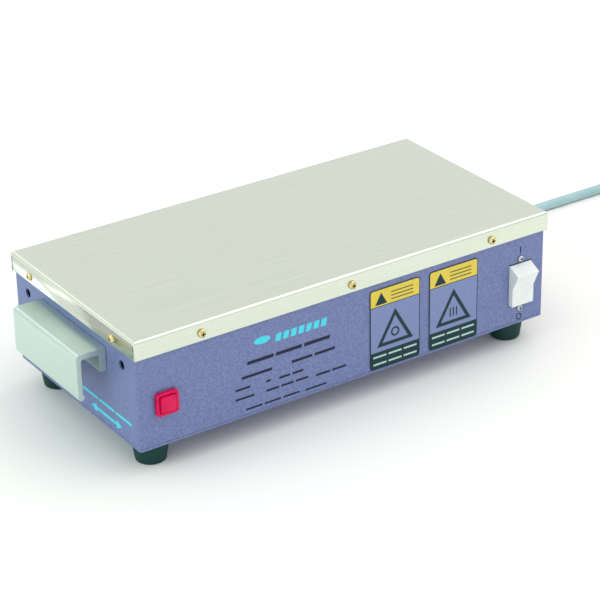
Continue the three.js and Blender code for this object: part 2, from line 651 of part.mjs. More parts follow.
const bracketBoltX = () => CORE_X + FIT + BRACKET_THICKNESS + BRACKET_FOOT / 2;

function makeCore() {
  const stack = block([-CORE_X, -CORE_Y, CORE_BOTTOM_Z], [CORE_X, CORE_Y, CORE_TOP_Z]);
  const slot = block(
    [-CORE_X - 1, -CORE_POLE_GAP / 2, YOKE_TOP_Z], [CORE_X + 1, CORE_POLE_GAP / 2, CORE_TOP_Z + 1],
  );
  const tunnels = [-POLE_Y, POLE_Y].map((y) => rod(
    'x', [0, y, TIE_ROD_Z], -CORE_X - 1, CORE_X + 1, TIE_ROD_RADIUS + FIT, 16,
  ));
  add('core_stack', cut(stack, slot, ...tunnels), CORE_STEEL);

  for (const [name, side] of screwSidesX) {
    const near = side * (CORE_X + FIT);
    const far = near + side * BRACKET_THICKNESS;
    const tip = far + side * BRACKET_FOOT;
    const span = (a, b) => [Math.min(a, b), Math.max(a, b)];
    const [wallFrom, wallTo] = span(near, far);
    const [footFrom, footTo] = span(near, tip);
    const wall = block([wallFrom, -CORE_Y, CORE_BOTTOM_Z], [wallTo, CORE_Y, YOKE_TOP_Z - BRACKET_STEP]);
    const foot = block(
      [footFrom, -CORE_Y, CORE_BOTTOM_Z], [footTo, CORE_Y, CORE_BOTTOM_Z + BRACKET_THICKNESS],
    );
    const holes = [-POLE_Y, POLE_Y].map((y) => rod(
      'x', [near, y, TIE_ROD_Z], -2 * BRACKET_THICKNESS, 2 * BRACKET_THICKNESS, TIE_ROD_RADIUS + FIT, 16,
    ));
    const boltYs = [-BRACKET_BOLT_SPACING / 2, BRACKET_BOLT_SPACING / 2];
    const boltX = side * bracketBoltX();
    for (const y of boltYs) {
      holes.push(rod(
        'z', [boltX, y, CORE_BOTTOM_Z], -BRACKET_THICKNESS, 2 * BRACKET_THICKNESS,
        BRACKET_BOLT_RADIUS + FIT, 16,
      ));
    }
    add(`core_bracket_${name}`, cut(join(wall, foot), ...holes), BRIGHT_ZINC);
    boltYs.forEach((y, index) => {
      const seat = FOOT_HEIGHT - FIT;
      const length = BOTTOM_THICKNESS + 2 * FIT + BRACKET_THICKNESS + 3;
      const head = rod('z', [boltX, y, seat], -BRACKET_BOLT_HEAD_HEIGHT, 0, BRACKET_BOLT_HEAD_RADIUS, 6);
      const shank = rod('z', [boltX, y, seat], -1, length, BRACKET_BOLT_RADIUS, 16);
      add(`bracket_bolt_${name}_${index + 1}`, join(head, shank), BRIGHT_ZINC);
    });
  }
  const outer = CORE_X + FIT + BRACKET_THICKNESS + FIT;
  [['front', -POLE_Y], ['back', POLE_Y]].forEach(([name, y]) => {
    const head = rod('x', [-outer, y, TIE_ROD_Z], -TIE_ROD_HEAD_HEIGHT, 0, TIE_ROD_HEAD_RADIUS, 6);
    const shank = rod('x', [0, y, TIE_ROD_Z], -outer - 1, outer + TIE_ROD_HEAD_HEIGHT, TIE_ROD_RADIUS, 16);
    add(`tie_rod_${name}`, join(head, shank), BRIGHT_ZINC);
  });
}

// A ring round one pole: inside and outside clearances from the pole's faces.
function poleRing(y, inset, outset, fromZ, toZ) {
  const ring = (by, radius, path) => roundedRectangle(
    2 * (CORE_X + by), CORE_POLE_WIDTH + 2 * by, radius, path,
  );
  const shape = ring(outset, Math.max(outset, 1));
  shape.holes.push(ring(inset, Math.max(inset, 0.4), new THREE.Path()));
  return raised(shape, fromZ, toZ, 2).translate(0, y, 0);
}

function makeCoils() {
  const sleeve = FIT + FORMER_WALL;
  [['front', -POLE_Y], ['back', POLE_Y]].forEach(([name, y]) => {
    const tube = poleRing(y, FIT, sleeve, FORMER_BOTTOM_Z, FORMER_TOP_Z);
    const lower = poleRing(y, FIT, COIL_OUT + FORMER_LIP, FORMER_BOTTOM_Z, FORMER_BOTTOM_Z + FORMER_FLANGE);
    const upper = poleRing(y, FIT, COIL_OUT + FORMER_LIP, FORMER_TOP_Z - FORMER_FLANGE, FORMER_TOP_Z);
    add(`coil_former_${name}`, join(tube, lower, upper), FORMER_PLASTIC);
    const from = FORMER_BOTTOM_Z + FORMER_FLANGE + FIT;
    const to = FORMER_TOP_Z - FORMER_FLANGE - FIT;
    add(`coil_${name}`, poleRing(y, sleeve + FIT, COIL_OUT, from, to), COIL_TAPE);
  });
}

// ---------------------------------------------------------------- small electrical pieces

const earthX = () => footXs[0];
const earthY = () => 0;

function makeElectrics() {
  const coilFaceY = -(POLE_Y + CORE_POLE_WIDTH / 2 + COIL_OUT + FORMER_LIP);
  const coilMidZ = (FORMER_BOTTOM_Z + FORMER_TOP_Z) / 2;
  add('thermal_cutout', block(
    [-CUTOUT_LENGTH / 2, coilFaceY - FIT - CUTOUT_DEPTH, coilMidZ - CUTOUT_HEIGHT / 2],
    [CUTOUT_LENGTH / 2, coilFaceY - FIT, coilMidZ + CUTOUT_HEIGHT / 2],
  ), BLACK_PLASTIC);

  const floor = CASE_BOTTOM_Z + CASE_WALL + FIT;
  const x = COVER_X - FOOT_INSET_X;
  const body = block(
    [x - TERMINAL_DEPTH / 2, -TERMINAL_LENGTH / 2, floor],
    [x + TERMINAL_DEPTH / 2, TERMINAL_LENGTH / 2, floor + TERMINAL_HEIGHT],
  );
  const pitch = TERMINAL_LENGTH / TERMINAL_POLES;
  const grooves = [];
  for (let pole = 1; pole < TERMINAL_POLES; pole += 1) {
    const y = -TERMINAL_LENGTH / 2 + pole * pitch;
    grooves.push(block(
      [x - TERMINAL_DEPTH, y - TERMINAL_GROOVE / 2, floor + TERMINAL_HEIGHT / 2],
      [x + TERMINAL_DEPTH, y + TERMINAL_GROOVE / 2, floor + 2 * TERMINAL_HEIGHT],
    ));
  }
  add('terminal_block', cut(body, ...grooves), BLACK_PLASTIC);

  const head = [earthX(), earthY(), FOOT_HEIGHT - FIT];
  add('earth_screw', panScrew('z', 1, head, EARTH_SCREW_RADIUS, EARTH_SCREW_HEAD_RADIUS,
    EARTH_SCREW_HEAD_HEIGHT, EARTH_SCREW_LENGTH), BRIGHT_ZINC);
}

// ---------------------------------------------------------------- gland, cord and plug

function makeGland() {
  const centre = [CASE_X, GLAND_Y, GLAND_Z];
  const hex = rod('x', centre, FIT, FIT + GLAND_FLANGE, GLAND_HEX_RADIUS, 6);
  const barrel = rod('x', centre, -GLAND_THREAD_LENGTH, FIT + 1, GLAND_THREAD_RADIUS, 16);
  const bore = rod('x', centre, -2 * GLAND_THREAD_LENGTH, 2 * GLAND_FLANGE, CORD_RADIUS + FIT, 16);
  add('gland_body', cut(join(hex, barrel), bore), GREY_PLASTIC);
  const nut = rod('x', centre, -CASE_WALL - FIT - LOCKNUT_THICKNESS, -CASE_WALL - FIT, GLAND_HEX_RADIUS, 6);
  const thread = rod('x', centre, -2 * GLAND_THREAD_LENGTH, 0, GLAND_THREAD_RADIUS + FIT, 16);
  add('gland_locknut', cut(nut, thread), GREY_PLASTIC);
  add('strain_relief', turned('x', [RELIEF_X, GLAND_Y, GLAND_Z], [
    [0, 0], [0, RELIEF_ROOT_RADIUS], [RELIEF_LENGTH * 0.12, RELIEF_ROOT_RADIUS],
    [RELIEF_LENGTH, RELIEF_TIP_RADIUS], [RELIEF_LENGTH, 0],
  ], 16), GREY_PLASTIC);
}

// The stretch of cord that is not coiled: out of the strain relief, down to the floor, along it
// and round into the coil.
const CORD_ROUTE = [
  [CORD_START_X, GLAND_Y, GLAND_Z],
  [245, 76.6, 38.9], [254, 77.1, 37.9], [265, 79.0, 34.9], [277, 82.5, 29.2], [289, 87.0, 21.8],
  [301, 91.8, 14.4], [313, 96.2, 8.9], [325, 99.6, 5.8], [338, 101.8, 4.7], [352, 102.7, 4.5],
  [368, 102.9, 4.5], [384, 102.9, 4.5], [401, 102.9, 4.5], [418, 102.9, 4.5], [436, 102.9, 4.5],
  [454, 102.9, 4.5], [468, 102.4, 4.5], [481, 99.3, 4.5], [492, 92.9, 4.5], [501, 83.9, 4.5],
  [508, 72.5, 4.5], [511.6, 60.5, 4.5],
  [COIL_CENTRE_X + COIL_MEAN_RADIUS + CORD_RADIUS, COIL_CENTRE_Y + COIL_LEAD + FIT, 4.5],
];

function makeCord() {
  const pitch = 2 * CORD_RADIUS;
  const outerTrack = COIL_MEAN_RADIUS + CORD_RADIUS * (COIL_TRACKS - 1);
  const route = new THREE.CatmullRomCurve3(
    CORD_ROUTE.map((point) => new THREE.Vector3(...point)), false, 'centripetal',
  );
  const section = new THREE.Shape();
  section.absarc(0, 0, CORD_RADIUS, 0, 2 * Math.PI);
  add('power_cord', new THREE.ExtrudeGeometry(
    section, { steps: 30, curveSegments: 5, bevelEnabled: false, extrudePath: route },
  ), CORD_SHEATH);

  const halfWidth = CORD_RADIUS * COIL_TRACKS;
  const low = CORD_CLEARANCE;
  const high = low + pitch * COIL_LAYERS;
  const inner = COIL_MEAN_RADIUS - halfWidth;
  const outer = COIL_MEAN_RADIUS + halfWidth;
  const chamfer = CORD_RADIUS / 2;
  const ring = turned('z', [COIL_CENTRE_X, COIL_CENTRE_Y, 0], [
    [low + chamfer, inner], [low, inner + chamfer], [low, outer - chamfer], [low + chamfer, outer],
    [high - chamfer, outer], [high, outer - chamfer], [high, inner + chamfer], [high - chamfer, inner],
    [low + chamfer, inner],
  ], 32);
  const leadZ = low + CORD_RADIUS;
  const leadIn = rod(
    'y', [COIL_CENTRE_X + outerTrack, COIL_CENTRE_Y, leadZ], 0, COIL_LEAD, CORD_RADIUS, 10,
  );
  const tailZ = leadZ + pitch;
  const leadOut = rod(
    'x', [COIL_CENTRE_X, COIL_CENTRE_Y - outerTrack, tailZ], -COIL_LEAD, 0, CORD_RADIUS, 10,
  );
  add('cord_coil', join(ring, leadIn, leadOut), CORD_SHEATH);

  const neckX = COIL_CENTRE_X - COIL_LEAD - FIT;
  const axis = [neckX, COIL_CENTRE_Y - outerTrack, tailZ];
  const neck = turned('x', axis, [
    [-PLUG_NECK_LENGTH - 1, 0], [-PLUG_NECK_LENGTH - 1, PLUG_NECK_ROOT_RADIUS],
    [-PLUG_NECK_LENGTH, PLUG_NECK_ROOT_RADIUS], [0, PLUG_NECK_TIP_RADIUS], [0, 0],
  ], 16);
  const grip = new THREE.ExtrudeGeometry(
    roundedRectangle(PLUG_WIDTH, PLUG_WIDTH, 5),
    { depth: PLUG_LENGTH, bevelEnabled: false, curveSegments: 2 },
  ).rotateY(-Math.PI / 2).translate(axis[0] - PLUG_NECK_LENGTH, axis[1], axis[2]);
  add('plug_body', join(grip, neck), GREY_PLASTIC);
  const faceX = axis[0] - PLUG_NECK_LENGTH - PLUG_LENGTH - FIT;
  const [bladeLength, bladeThickness, bladeWidth] = PLUG_BLADE;
  const bladeZ = axis[2] + PLUG_EARTH_DROP / 3;
  [['left', -1], ['right', 1]].forEach(([name, side]) => {
    const y = axis[1] + side * PLUG_BLADE_SPACING / 2;
    add(`plug_blade_${name}`, block(
      [faceX - bladeLength, y - bladeThickness / 2, bladeZ - bladeWidth / 2],
      [faceX, y + bladeThickness / 2, bladeZ + bladeWidth / 2],
    ), PIN_BRASS);
  });
  add('plug_earth_pin', turned('x', [faceX, axis[1], bladeZ - PLUG_EARTH_DROP], [
    [-PLUG_EARTH_LENGTH, 0], [-PLUG_EARTH_LENGTH, PLUG_EARTH_RADIUS * 0.5],
    [-PLUG_EARTH_LENGTH + PLUG_EARTH_RADIUS, PLUG_EARTH_RADIUS], [0, PLUG_EARTH_RADIUS], [0, 0],
  ], 12), PIN_BRASS);
}

// ---------------------------------------------------------------- the object

makeCover();
makeCase();
makeBottomPlate();
makeCoverScrews();
makeHandles();
makeFeet();
makeSwitch();
makeLamp();
makeLabels();
makeCore();
makeCoils();
makeElectrics();
makeGland();
makeCord();

// The rocker stands out at the front further than the screw heads do at the back, so the
// machine is moved back by half the difference to stand centred on the origin.
const tilted = THREE.MathUtils.degToRad(ROCKER_TILT);
const { ridge } = rockerEnd();
const rockerFrontY = HINGE_Y - (ridge[0] * Math.cos(tilted) + ridge[1] * Math.sin(tilted));
const screwBackY = COVER_Y + FIT + COVER_SCREW_HEAD_HEIGHT;
machine.position.y = -(rockerFrontY + screwBackY) / 2;

export default machine;
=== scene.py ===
# %% [markdown]
# # A plate demagnetizer
# The machine is a long painted steel case on four rubber feet. A stainless cover closes it, and
# steel parts are slid over that cover to lose their magnetism. It has a handle at each end, a
# rocker switch and a pilot lamp on the front, and a power cord at the back of its right end.
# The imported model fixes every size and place. Here each visible piece gets its fine surface.

# %% Load the frame
import math

import bmesh
import bpy
from mathutils import Matrix, Vector


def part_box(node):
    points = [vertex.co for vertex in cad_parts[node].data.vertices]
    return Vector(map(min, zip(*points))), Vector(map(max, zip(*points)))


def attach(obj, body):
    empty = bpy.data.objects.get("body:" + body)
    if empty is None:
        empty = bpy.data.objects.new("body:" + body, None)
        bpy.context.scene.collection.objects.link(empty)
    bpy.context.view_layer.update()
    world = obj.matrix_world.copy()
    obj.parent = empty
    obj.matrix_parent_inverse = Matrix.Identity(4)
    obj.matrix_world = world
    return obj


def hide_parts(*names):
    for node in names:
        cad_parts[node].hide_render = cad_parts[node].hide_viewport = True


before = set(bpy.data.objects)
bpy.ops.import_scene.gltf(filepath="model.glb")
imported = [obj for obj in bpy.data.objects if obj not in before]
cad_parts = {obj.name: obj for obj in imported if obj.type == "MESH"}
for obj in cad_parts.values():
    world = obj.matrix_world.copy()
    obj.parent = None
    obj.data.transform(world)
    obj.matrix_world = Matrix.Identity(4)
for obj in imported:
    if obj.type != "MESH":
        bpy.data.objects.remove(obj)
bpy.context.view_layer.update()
scene = bpy.context.scene

# %% [markdown]
# The case and the cover give the planes that most pieces are placed from: the front panel, the
# left end, and the middle of the machine from front to back. Lengths below are in millimetres,
# as on a workshop drawing, and one function turns them into Blender's metres.

# %% Reference planes
MACHINE = "machine"
ROCKER = "rocker"


def mm(value):
    return value / 1000


def box_mm(node):
    low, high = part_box(node)
    return low * 1000, high * 1000


case_low = box_mm("case_shell")[0]
cover_low, cover_high = box_mm("top_cover")
FRONT = case_low.y
LEFT_END = case_low.x
MIDDLE = (cover_low.y + cover_high.y) / 2
TOP = cover_high.z
print(f"front panel y {FRONT:.2f}, left end x {LEFT_END:.2f}, middle y {MIDDLE:.2f}, top z {TOP:.2f}")

# %% [markdown]
# The camera stands high at the front left and looks along the machine with a long lens, so that
# the front, the left end and the top all show with little perspective. Its direction is given
# by a turn about the vertical, a tilt down and a small roll. The three axes that follow from
# them are the columns of its matrix.

# %% Camera
CAMERA_TURN, CAMERA_TILT, CAMERA_ROLL = 0.5870246, 0.4683708, -0.0190870
CAMERA_PLACE = Vector((-934.287, -1435.774 + MIDDLE, 801.472 + TOP))

ahead = Vector((
    math.sin(CAMERA_TURN) * math.cos(CAMERA_TILT),
    math.cos(CAMERA_TURN) * math.cos(CAMERA_TILT),
    -math.sin(CAMERA_TILT),
))
level = Vector((math.cos(CAMERA_TURN), -math.sin(CAMERA_TURN), 0))
across = Matrix.Rotation(-CAMERA_ROLL, 3, ahead) @ level
upward = across.cross(ahead)
camera_data = bpy.data.cameras.new("camera")
camera_data.sensor_width = 36
camera_data.lens = 137.756
camera_data.shift_x, camera_data.shift_y = -0.00866, 0.00136
camera = bpy.data.objects.new("camera", camera_data)
scene.collection.objects.link(camera)
turn = Matrix((across, upward, -ahead)).transposed().to_4x4()
camera.matrix_world = Matrix.Translation(CAMERA_PLACE / 1000) @ turn
scene.camera = camera
print("camera at", [round(value, 3) for value in camera.location])

# %% [markdown]
# A material is a small tree of nodes. One function adds a node with its inputs and settings, and
# one turns a colour as written in sRGB hex to the linear colour that the shader works in.
#
# Most finishes here share one recipe. A noise of the finish's real grain, given in millimetres
# along X, Y and Z, mixes two close colours, moves the roughness a little and lifts the surface.
# A grain that is long one way and short the others gives brushed or extruded lines.

# %% Material helpers
NOISE_DETAIL = 3.0


def linear(hex_colour):
    parts = [int(hex_colour[at:at + 2], 16) / 255 for at in (1, 3, 5)]
    return [p / 12.92 if p <= 0.04045 else ((p + 0.055) / 1.055) ** 2.4 for p in parts] + [1.0]


def add_node(tree, kind, inputs, **settings):
    node = tree.nodes.new(kind)
    for name, value in settings.items():
        setattr(node, name, value)
    for name, value in inputs.items():
        if isinstance(value, bpy.types.NodeSocket):
            tree.links.new(value, node.inputs[name])
        else:
            node.inputs[name].default_value = value
    return node


def grain_noise(tree, grain):
    place = add_node(tree, "ShaderNodeTexCoord", {})
    stretch = add_node(tree, "ShaderNodeMapping", {
        "Vector": place.outputs["Object"], "Scale": [1000 / size for size in grain],
    })
    return add_node(tree, "ShaderNodeTexNoise", {
        "Vector": stretch.outputs["Vector"], "Scale": 1.0, "Detail": NOISE_DETAIL,
    }).outputs["Fac"]


def spread(tree, value, low, high, start=0.35, end=0.65):
    return add_node(tree, "ShaderNodeMapRange", {
        "Value": value, "From Min": start, "From Max": end, "To Min": low, "To Max": high,
    }).outputs["Result"]


def mixed(tree, share, first, second):
    MIX_FIRST, MIX_SECOND, MIX_RESULT = 6, 7, 2
    return add_node(tree, "ShaderNodeMix", {
        0: share, MIX_FIRST: first, MIX_SECOND: second,
    }, data_type="RGBA").outputs[MIX_RESULT]


def finish(name, colours, grain, roughness, lift=0.0, sockets=None):
    material = bpy.data.materials.new(name)
    material.use_nodes = True
    tree = material.node_tree
    shader = tree.nodes["Principled BSDF"]
    noise = grain_noise(tree, grain)
    share = spread(tree, noise, 0.0, 1.0)
    tree.links.new(mixed(tree, share, linear(colours[0]), linear(colours[1])), shader.inputs["Base Color"])
    tree.links.new(spread(tree, noise, *roughness), shader.inputs["Roughness"])
    if lift:
        bump = add_node(tree, "ShaderNodeBump", {"Height": noise, "Distance": mm(lift)})
        tree.links.new(bump.outputs["Normal"], shader.inputs["Normal"])
    for socket, value in (sockets or {}).items():
        shader.inputs[socket].default_value = value
    return material


METAL = {"Metallic": 1.0}
print("material helpers ready")

# %% [markdown]
# A piece is finished the same way each time. Its bmesh becomes a mesh, smooth but for edges
# sharper than an angle, then it rides on a body of the frame, takes its material and stands for
# the CAD nodes that it replaces.

# %% Piece helper
def piece(name, shape, material, replaces=(), body=MACHINE, smooth=35):
    mesh = bpy.data.meshes.new(name)
    shape.to_mesh(mesh)
    shape.free()
    mesh.shade_smooth()
    mesh.set_sharp_from_angle(angle=math.radians(smooth))
    mesh.materials.append(material)
    made = bpy.data.objects.new(name, mesh)
    scene.collection.objects.link(made)
    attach(made, body)
    if replaces:
        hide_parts(*replaces)
    print(f"{name}: {len(mesh.polygons)} faces")
    return made


# %% [markdown]
# Round pieces are turned, as on a lathe. The profile is a line of [radius, height] points, and
# spin carries it once round the local Z axis. The points on the axis fall together and are
# merged, and the normals are recalculated because spin can turn a shape inside out. The shape
# is then turned so that its Z axis faces the way that is asked, and moved to its place.

# %% Turning helper
UP = Vector((0, 0, 1))


def placed(shape, at, facing):
    turned_to = UP.rotation_difference(Vector(facing)).to_matrix().to_4x4()
    shape.transform(Matrix.Translation(Vector(at) / 1000) @ turned_to)
    return shape


def turned(profile, at, facing=UP, steps=48):
    shape = bmesh.new()
    line = [shape.verts.new((mm(radius), 0, mm(height))) for radius, height in profile]
    for first, second in zip(line, line[1:]):
        shape.edges.new((first, second))
    bmesh.ops.spin(
        shape, geom=shape.verts[:] + shape.edges[:], cent=(0, 0, 0), axis=UP,
        angle=2 * math.pi, steps=steps, use_merge=True,
    )
    bmesh.ops.remove_doubles(shape, verts=shape.verts, dist=mm(0.005))
    bmesh.ops.recalc_face_normals(shape, faces=shape.faces)
    return placed(shape, at, facing)


# %% [markdown]
# ## The power cord
# Three cores in a round PVC sheath, 8.7 mm thick. It leaves the strain relief level, sinks to
# the table under its own weight, runs along it and is wound into a small coil for storage. The
# points of the free stretch are listed. The coil is worked out: it winds clockwise seen
# from above through six places, two tracks wide and three layers high, and moves from one place
# to the next in an easy curve, a little earlier on each turn so that it never meets itself.

# %% Cord route
CORD_THICKNESS = 8.7
CORD_ROUTE = [
    (237.4, 76.5, 39.0), (245, 76.6, 38.9), (254, 77.1, 37.9), (265, 79.0, 34.9),
    (277, 82.5, 29.2), (289, 87.0, 21.8), (301, 91.8, 14.4), (313, 96.2, 8.9),
    (325, 99.6, 5.8), (338, 101.8, 4.7), (352, 102.7, 4.5), (368, 102.9, 4.5),
    (384, 102.9, 4.5), (401, 102.9, 4.5), (418, 102.9, 4.5), (436, 102.9, 4.5),
    (454, 102.9, 4.5), (468, 102.4, 4.5), (481, 99.3, 4.5), (492, 92.9, 4.5),
    (501, 83.9, 4.5), (508, 72.5, 4.5), (511.6, 60.5, 4.5), (512.25, 42.3, 4.5),
]
COIL_CENTRE = Vector((460, 8, 0))
OUTER_TRACK, INNER_TRACK = 52.25, 43.55
LAYERS = [4.5, 13.2, 21.9]
COIL_PLACES = [
    (OUTER_TRACK, LAYERS[0]), (INNER_TRACK, LAYERS[0]), (INNER_TRACK, LAYERS[1]),
    (INNER_TRACK, LAYERS[2]), (OUTER_TRACK, LAYERS[2]), (OUTER_TRACK, LAYERS[1]),
]
FIRST_MOVE, MOVE_SPACING = 310, 315  # degrees of winding at the middle of each move
SIDE_MOVE, LAYER_MOVE = 90, 60  # degrees that a move sideways and a move up or down take
COIL_DEGREES = 5 * 360 + 90
COIL_STEP = 15
TAIL_STEPS = [8.5, 17, 25.5, 34]


def easy(share):
    share = min(max(share, 0.0), 1.0)
    return 0.5 - 0.5 * math.cos(math.pi * share)


def coil_point(degrees):
    radius, height = COIL_PLACES[0]
    for number, (before, after) in enumerate(zip(COIL_PLACES, COIL_PLACES[1:])):
        width = LAYER_MOVE if before[0] == after[0] else SIDE_MOVE
        start = FIRST_MOVE + MOVE_SPACING * number - width / 2
        done = easy((degrees - start) / width)
        radius += done * (after[0] - before[0])
        height += done * (after[1] - before[1])
    angle = math.radians(degrees)
    return COIL_CENTRE + Vector((radius * math.cos(angle), -radius * math.sin(angle), height))


route = [Vector(point) for point in CORD_ROUTE]
route += [coil_point(degrees) for degrees in range(0, COIL_DEGREES + 1, COIL_STEP)]
coil_exit = route[-1]
route += [coil_exit - Vector((run, 0, 0)) for run in TAIL_STEPS]
route = [point + Vector((0, MIDDLE, 0)) for point in route]
print(len(route), "points on the cord's route")

# %% [markdown]
# PVC cord sheath is extruded through a round die. That leaves a soft satin skin with a faint
# unevenness a few millimetres long, which is what the eye reads as plastic and not as paint.

# %% PVC sheath
cord_sheath = finish(
    "extruded_pvc_sheath", ("#A3C4C8", "#AACBCF"), grain=(30, 30, 30), roughness=(0.42, 0.52), lift=0.02,
    sockets={"Coat Weight": 0.15, "Coat Roughness": 0.35},
)

# %% [markdown]
# A curve with a round bevel is the natural cord: its line is the cord's own centre. A Bezier
# spline with automatic handles passes smoothly through every chosen point.

# %% Cord
cord_curve = bpy.data.curves.new("cord", "CURVE")
cord_curve.dimensions = "3D"
cord_curve.bevel_depth = mm(CORD_THICKNESS / 2)
cord_curve.bevel_resolution = 5
cord_curve.resolution_u = 6
cord_curve.render_resolution_u = 6
cord_curve.use_fill_caps = True
spline = cord_curve.splines.new("BEZIER")
spline.bezier_points.add(len(route) - 1)
for bezier, point in zip(spline.bezier_points, route):
    bezier.co = point / 1000
    bezier.handle_left_type = bezier.handle_right_type = "AUTO"
cord_curve.materials.append(cord_sheath)
cord = bpy.data.objects.new("cord", cord_curve)
scene.collection.objects.link(cord)
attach(cord, MACHINE)
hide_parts("power_cord", "cord_coil")
cord_length = sum((b - a).length for a, b in zip(route, route[1:]))
print(f"cord's chord length {cord_length:.0f} mm")

# %% [markdown]
# Strain relief and plug are moulded in a grey PVC, harder than the sheath. Its skin copies the
# fine spark-eroded texture of the mould.

# %% Moulded grey plastic
grey_plastic = finish(
    "moulded_grey_pvc", ("#86999C", "#93A6A9"), grain=(0.9, 0.9, 0.9), roughness=(0.45, 0.6), lift=0.03,
)

# %% [markdown]
# The strain relief is a tapered sleeve with rings that let it bend with the cord without
# kinking. A loop writes its profile ring by ring. The neck of the plug is the same kind of
# sleeve, so one function makes both.

# %% Ribbed sleeves
COLLAR = 0.12  # share of a sleeve's length that stays smooth at its thick end
GROOVE = 0.9
RING_SHAPE = [(0.08, GROOVE), (0.32, GROOVE), (0.42, 0.15), (0.5, 0), (0.9, 0), (1.0, 0.2)]


def ribbed_profile(length, root, tip, rings):
    start = length * COLLAR
    profile = [(0, 0), (root - 0.4, 0), (root, 0.4), (root, start)]
    pitch = (length - start) / rings
    for ring in range(rings):
        low = start + ring * pitch
        radius = root + (tip - root) * (ring + 0.5) / rings
        for share, depth in RING_SHAPE:
            profile.append((radius - depth, low + share * pitch))
    return profile + [(tip - 0.5, length), (0, length)]


relief_low, relief_high = box_mm("strain_relief")
relief_middle = (relief_low + relief_high) / 2
relief_length = relief_high.x - relief_low.x
relief = piece(
    "strain_relief_sleeve",
    turned(
        ribbed_profile(relief_length, root=8, tip=5.4, rings=7),
        (relief_low.x, relief_middle.y, relief_middle.z), facing=(1, 0, 0),
    ),
    grey_plastic, replaces=["strain_relief"],
)

# %% [markdown]
# The plug is a moulded block with a neck. It starts as a cube, its long edges are rounded with
# a wide bevel and the rest with a small one, and finger ridges stand on two of its sides.

# %% Plug
CORNER_SEGMENTS = 6
SHARP_EDGE = math.radians(40)


def rounded_block(low, high, corner, edge, axis):
    low, high = Vector(low) / 1000, Vector(high) / 1000
    size = high - low
    shape = bmesh.new()
    bmesh.ops.create_cube(shape, size=1)
    shape.transform(Matrix.Translation((low + high) / 2) @ Matrix.Diagonal((*size, 1)))
    along = [
        e for e in shape.edges
        if abs((e.verts[0].co - e.verts[1].co).normalized()[axis]) > 0.9
    ]
    bmesh.ops.bevel(
        shape, geom=along, offset=mm(corner), offset_type="OFFSET", affect="EDGES",
        segments=CORNER_SEGMENTS, profile=0.5, material=-1, clamp_overlap=True,
    )
    if edge:
        soften(shape, edge, 2)
    return shape


def soften(shape, width, segments):
    sharp = [
        e for e in shape.edges
        if len(e.link_faces) == 2 and e.calc_face_angle(0) > SHARP_EDGE
    ]
    bmesh.ops.bevel(
        shape, geom=sharp, offset=mm(width), offset_type="OFFSET", affect="EDGES",
        segments=segments, profile=0.5, material=-1, clamp_overlap=True,
    )
    return shape


def joined(*shapes):
    whole = bmesh.new()
    for shape in shapes:
        part = bpy.data.meshes.new("part")
        shape.to_mesh(part)
        shape.free()
        whole.from_mesh(part)
        bpy.data.meshes.remove(part)
    return whole


plug_low, plug_high = box_mm("plug_body")
plug_middle = (plug_low + plug_high) / 2
PLUG_NECK = 22
RIDGE_COUNT, RIDGE_PITCH, RIDGE_HEIGHT = 5, 4.2, 0.6
RIDGE_INSET, RIDGE_WIDTH, RIDGE_REACH = 8, 1.8, 8
grip_high = (plug_high.x - PLUG_NECK, plug_high.y - RIDGE_HEIGHT, plug_high.z)
grip_low = (plug_low.x, plug_low.y + RIDGE_HEIGHT, plug_low.z)
neck = turned(
    ribbed_profile(PLUG_NECK, root=9, tip=5.4, rings=5),
    (plug_high.x - PLUG_NECK, plug_middle.y, plug_middle.z), facing=(1, 0, 0),
)
ridges = []
for number in range(RIDGE_COUNT):
    x = plug_low.x + RIDGE_INSET + number * RIDGE_PITCH
    ridges.append(rounded_block(
        (x, plug_low.y, plug_middle.z - RIDGE_REACH),
        (x + RIDGE_WIDTH, plug_high.y, plug_middle.z + RIDGE_REACH), 0.5, 0.2, axis=2,
    ))
plug = piece(
    "plug_moulding",
    joined(rounded_block(grip_low, grip_high, 5, 1, axis=0), neck, *ridges),
    grey_plastic, replaces=["plug_body"],
)

# %% [markdown]
# Where a CAD solid has the right outline already, its copy is enough to start from. A CAD mesh
# is loose triangles, so the copy is welded and its flat faces are made whole again, and then
# every sharp edge gets the small radius that pressing, moulding or tumbling leaves on the real
# part. That thin bright line along an edge is most of what makes a model look made.

# %% Copies of CAD solids with soft edges
def welded_copy(node):
    shape = bmesh.new()
    shape.from_mesh(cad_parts[node].data)
    bmesh.ops.remove_doubles(shape, verts=shape.verts, dist=mm(0.01))
    bmesh.ops.dissolve_limit(
        shape, angle_limit=math.radians(0.5), verts=shape.verts, edges=shape.edges,
    )
    return shape


def softened(name, node, material, width, segments=3, body=MACHINE):
    shape = soften(welded_copy(node), width, segments)
    made = piece(name, shape, material, replaces=[node], body=body)
    weighted = made.modifiers.new("weighted_normals", "WEIGHTED_NORMAL")
    weighted.keep_sharp = True
    return made


pin_brass = finish(
    "drawn_brass", ("#CDB673", "#DCC88A"), grain=(6, 0.3, 0.3), roughness=(0.22, 0.34), lift=0.004,
    sockets=METAL,
)
pins = [
    softened("blade_left", "plug_blade_left", pin_brass, 0.35),
    softened("blade_right", "plug_blade_right", pin_brass, 0.35),
    softened("earth_pin", "plug_earth_pin", pin_brass, 0.2),
]

# %% [markdown]
# ## Floor and light
# A pale seamless floor, an even white sky, and three softboxes. The key is high at the right,
# where the bend along the cover's front edge mirrors it, and it draws the long bright line
# there. It stands nearly overhead, so that it adds little to the front panel. The fill is at
# the left, faintly green, and lights the left end. A narrow strip at the back draws a thin
# line along the cover's left bend, which the sky alone would leave dull.

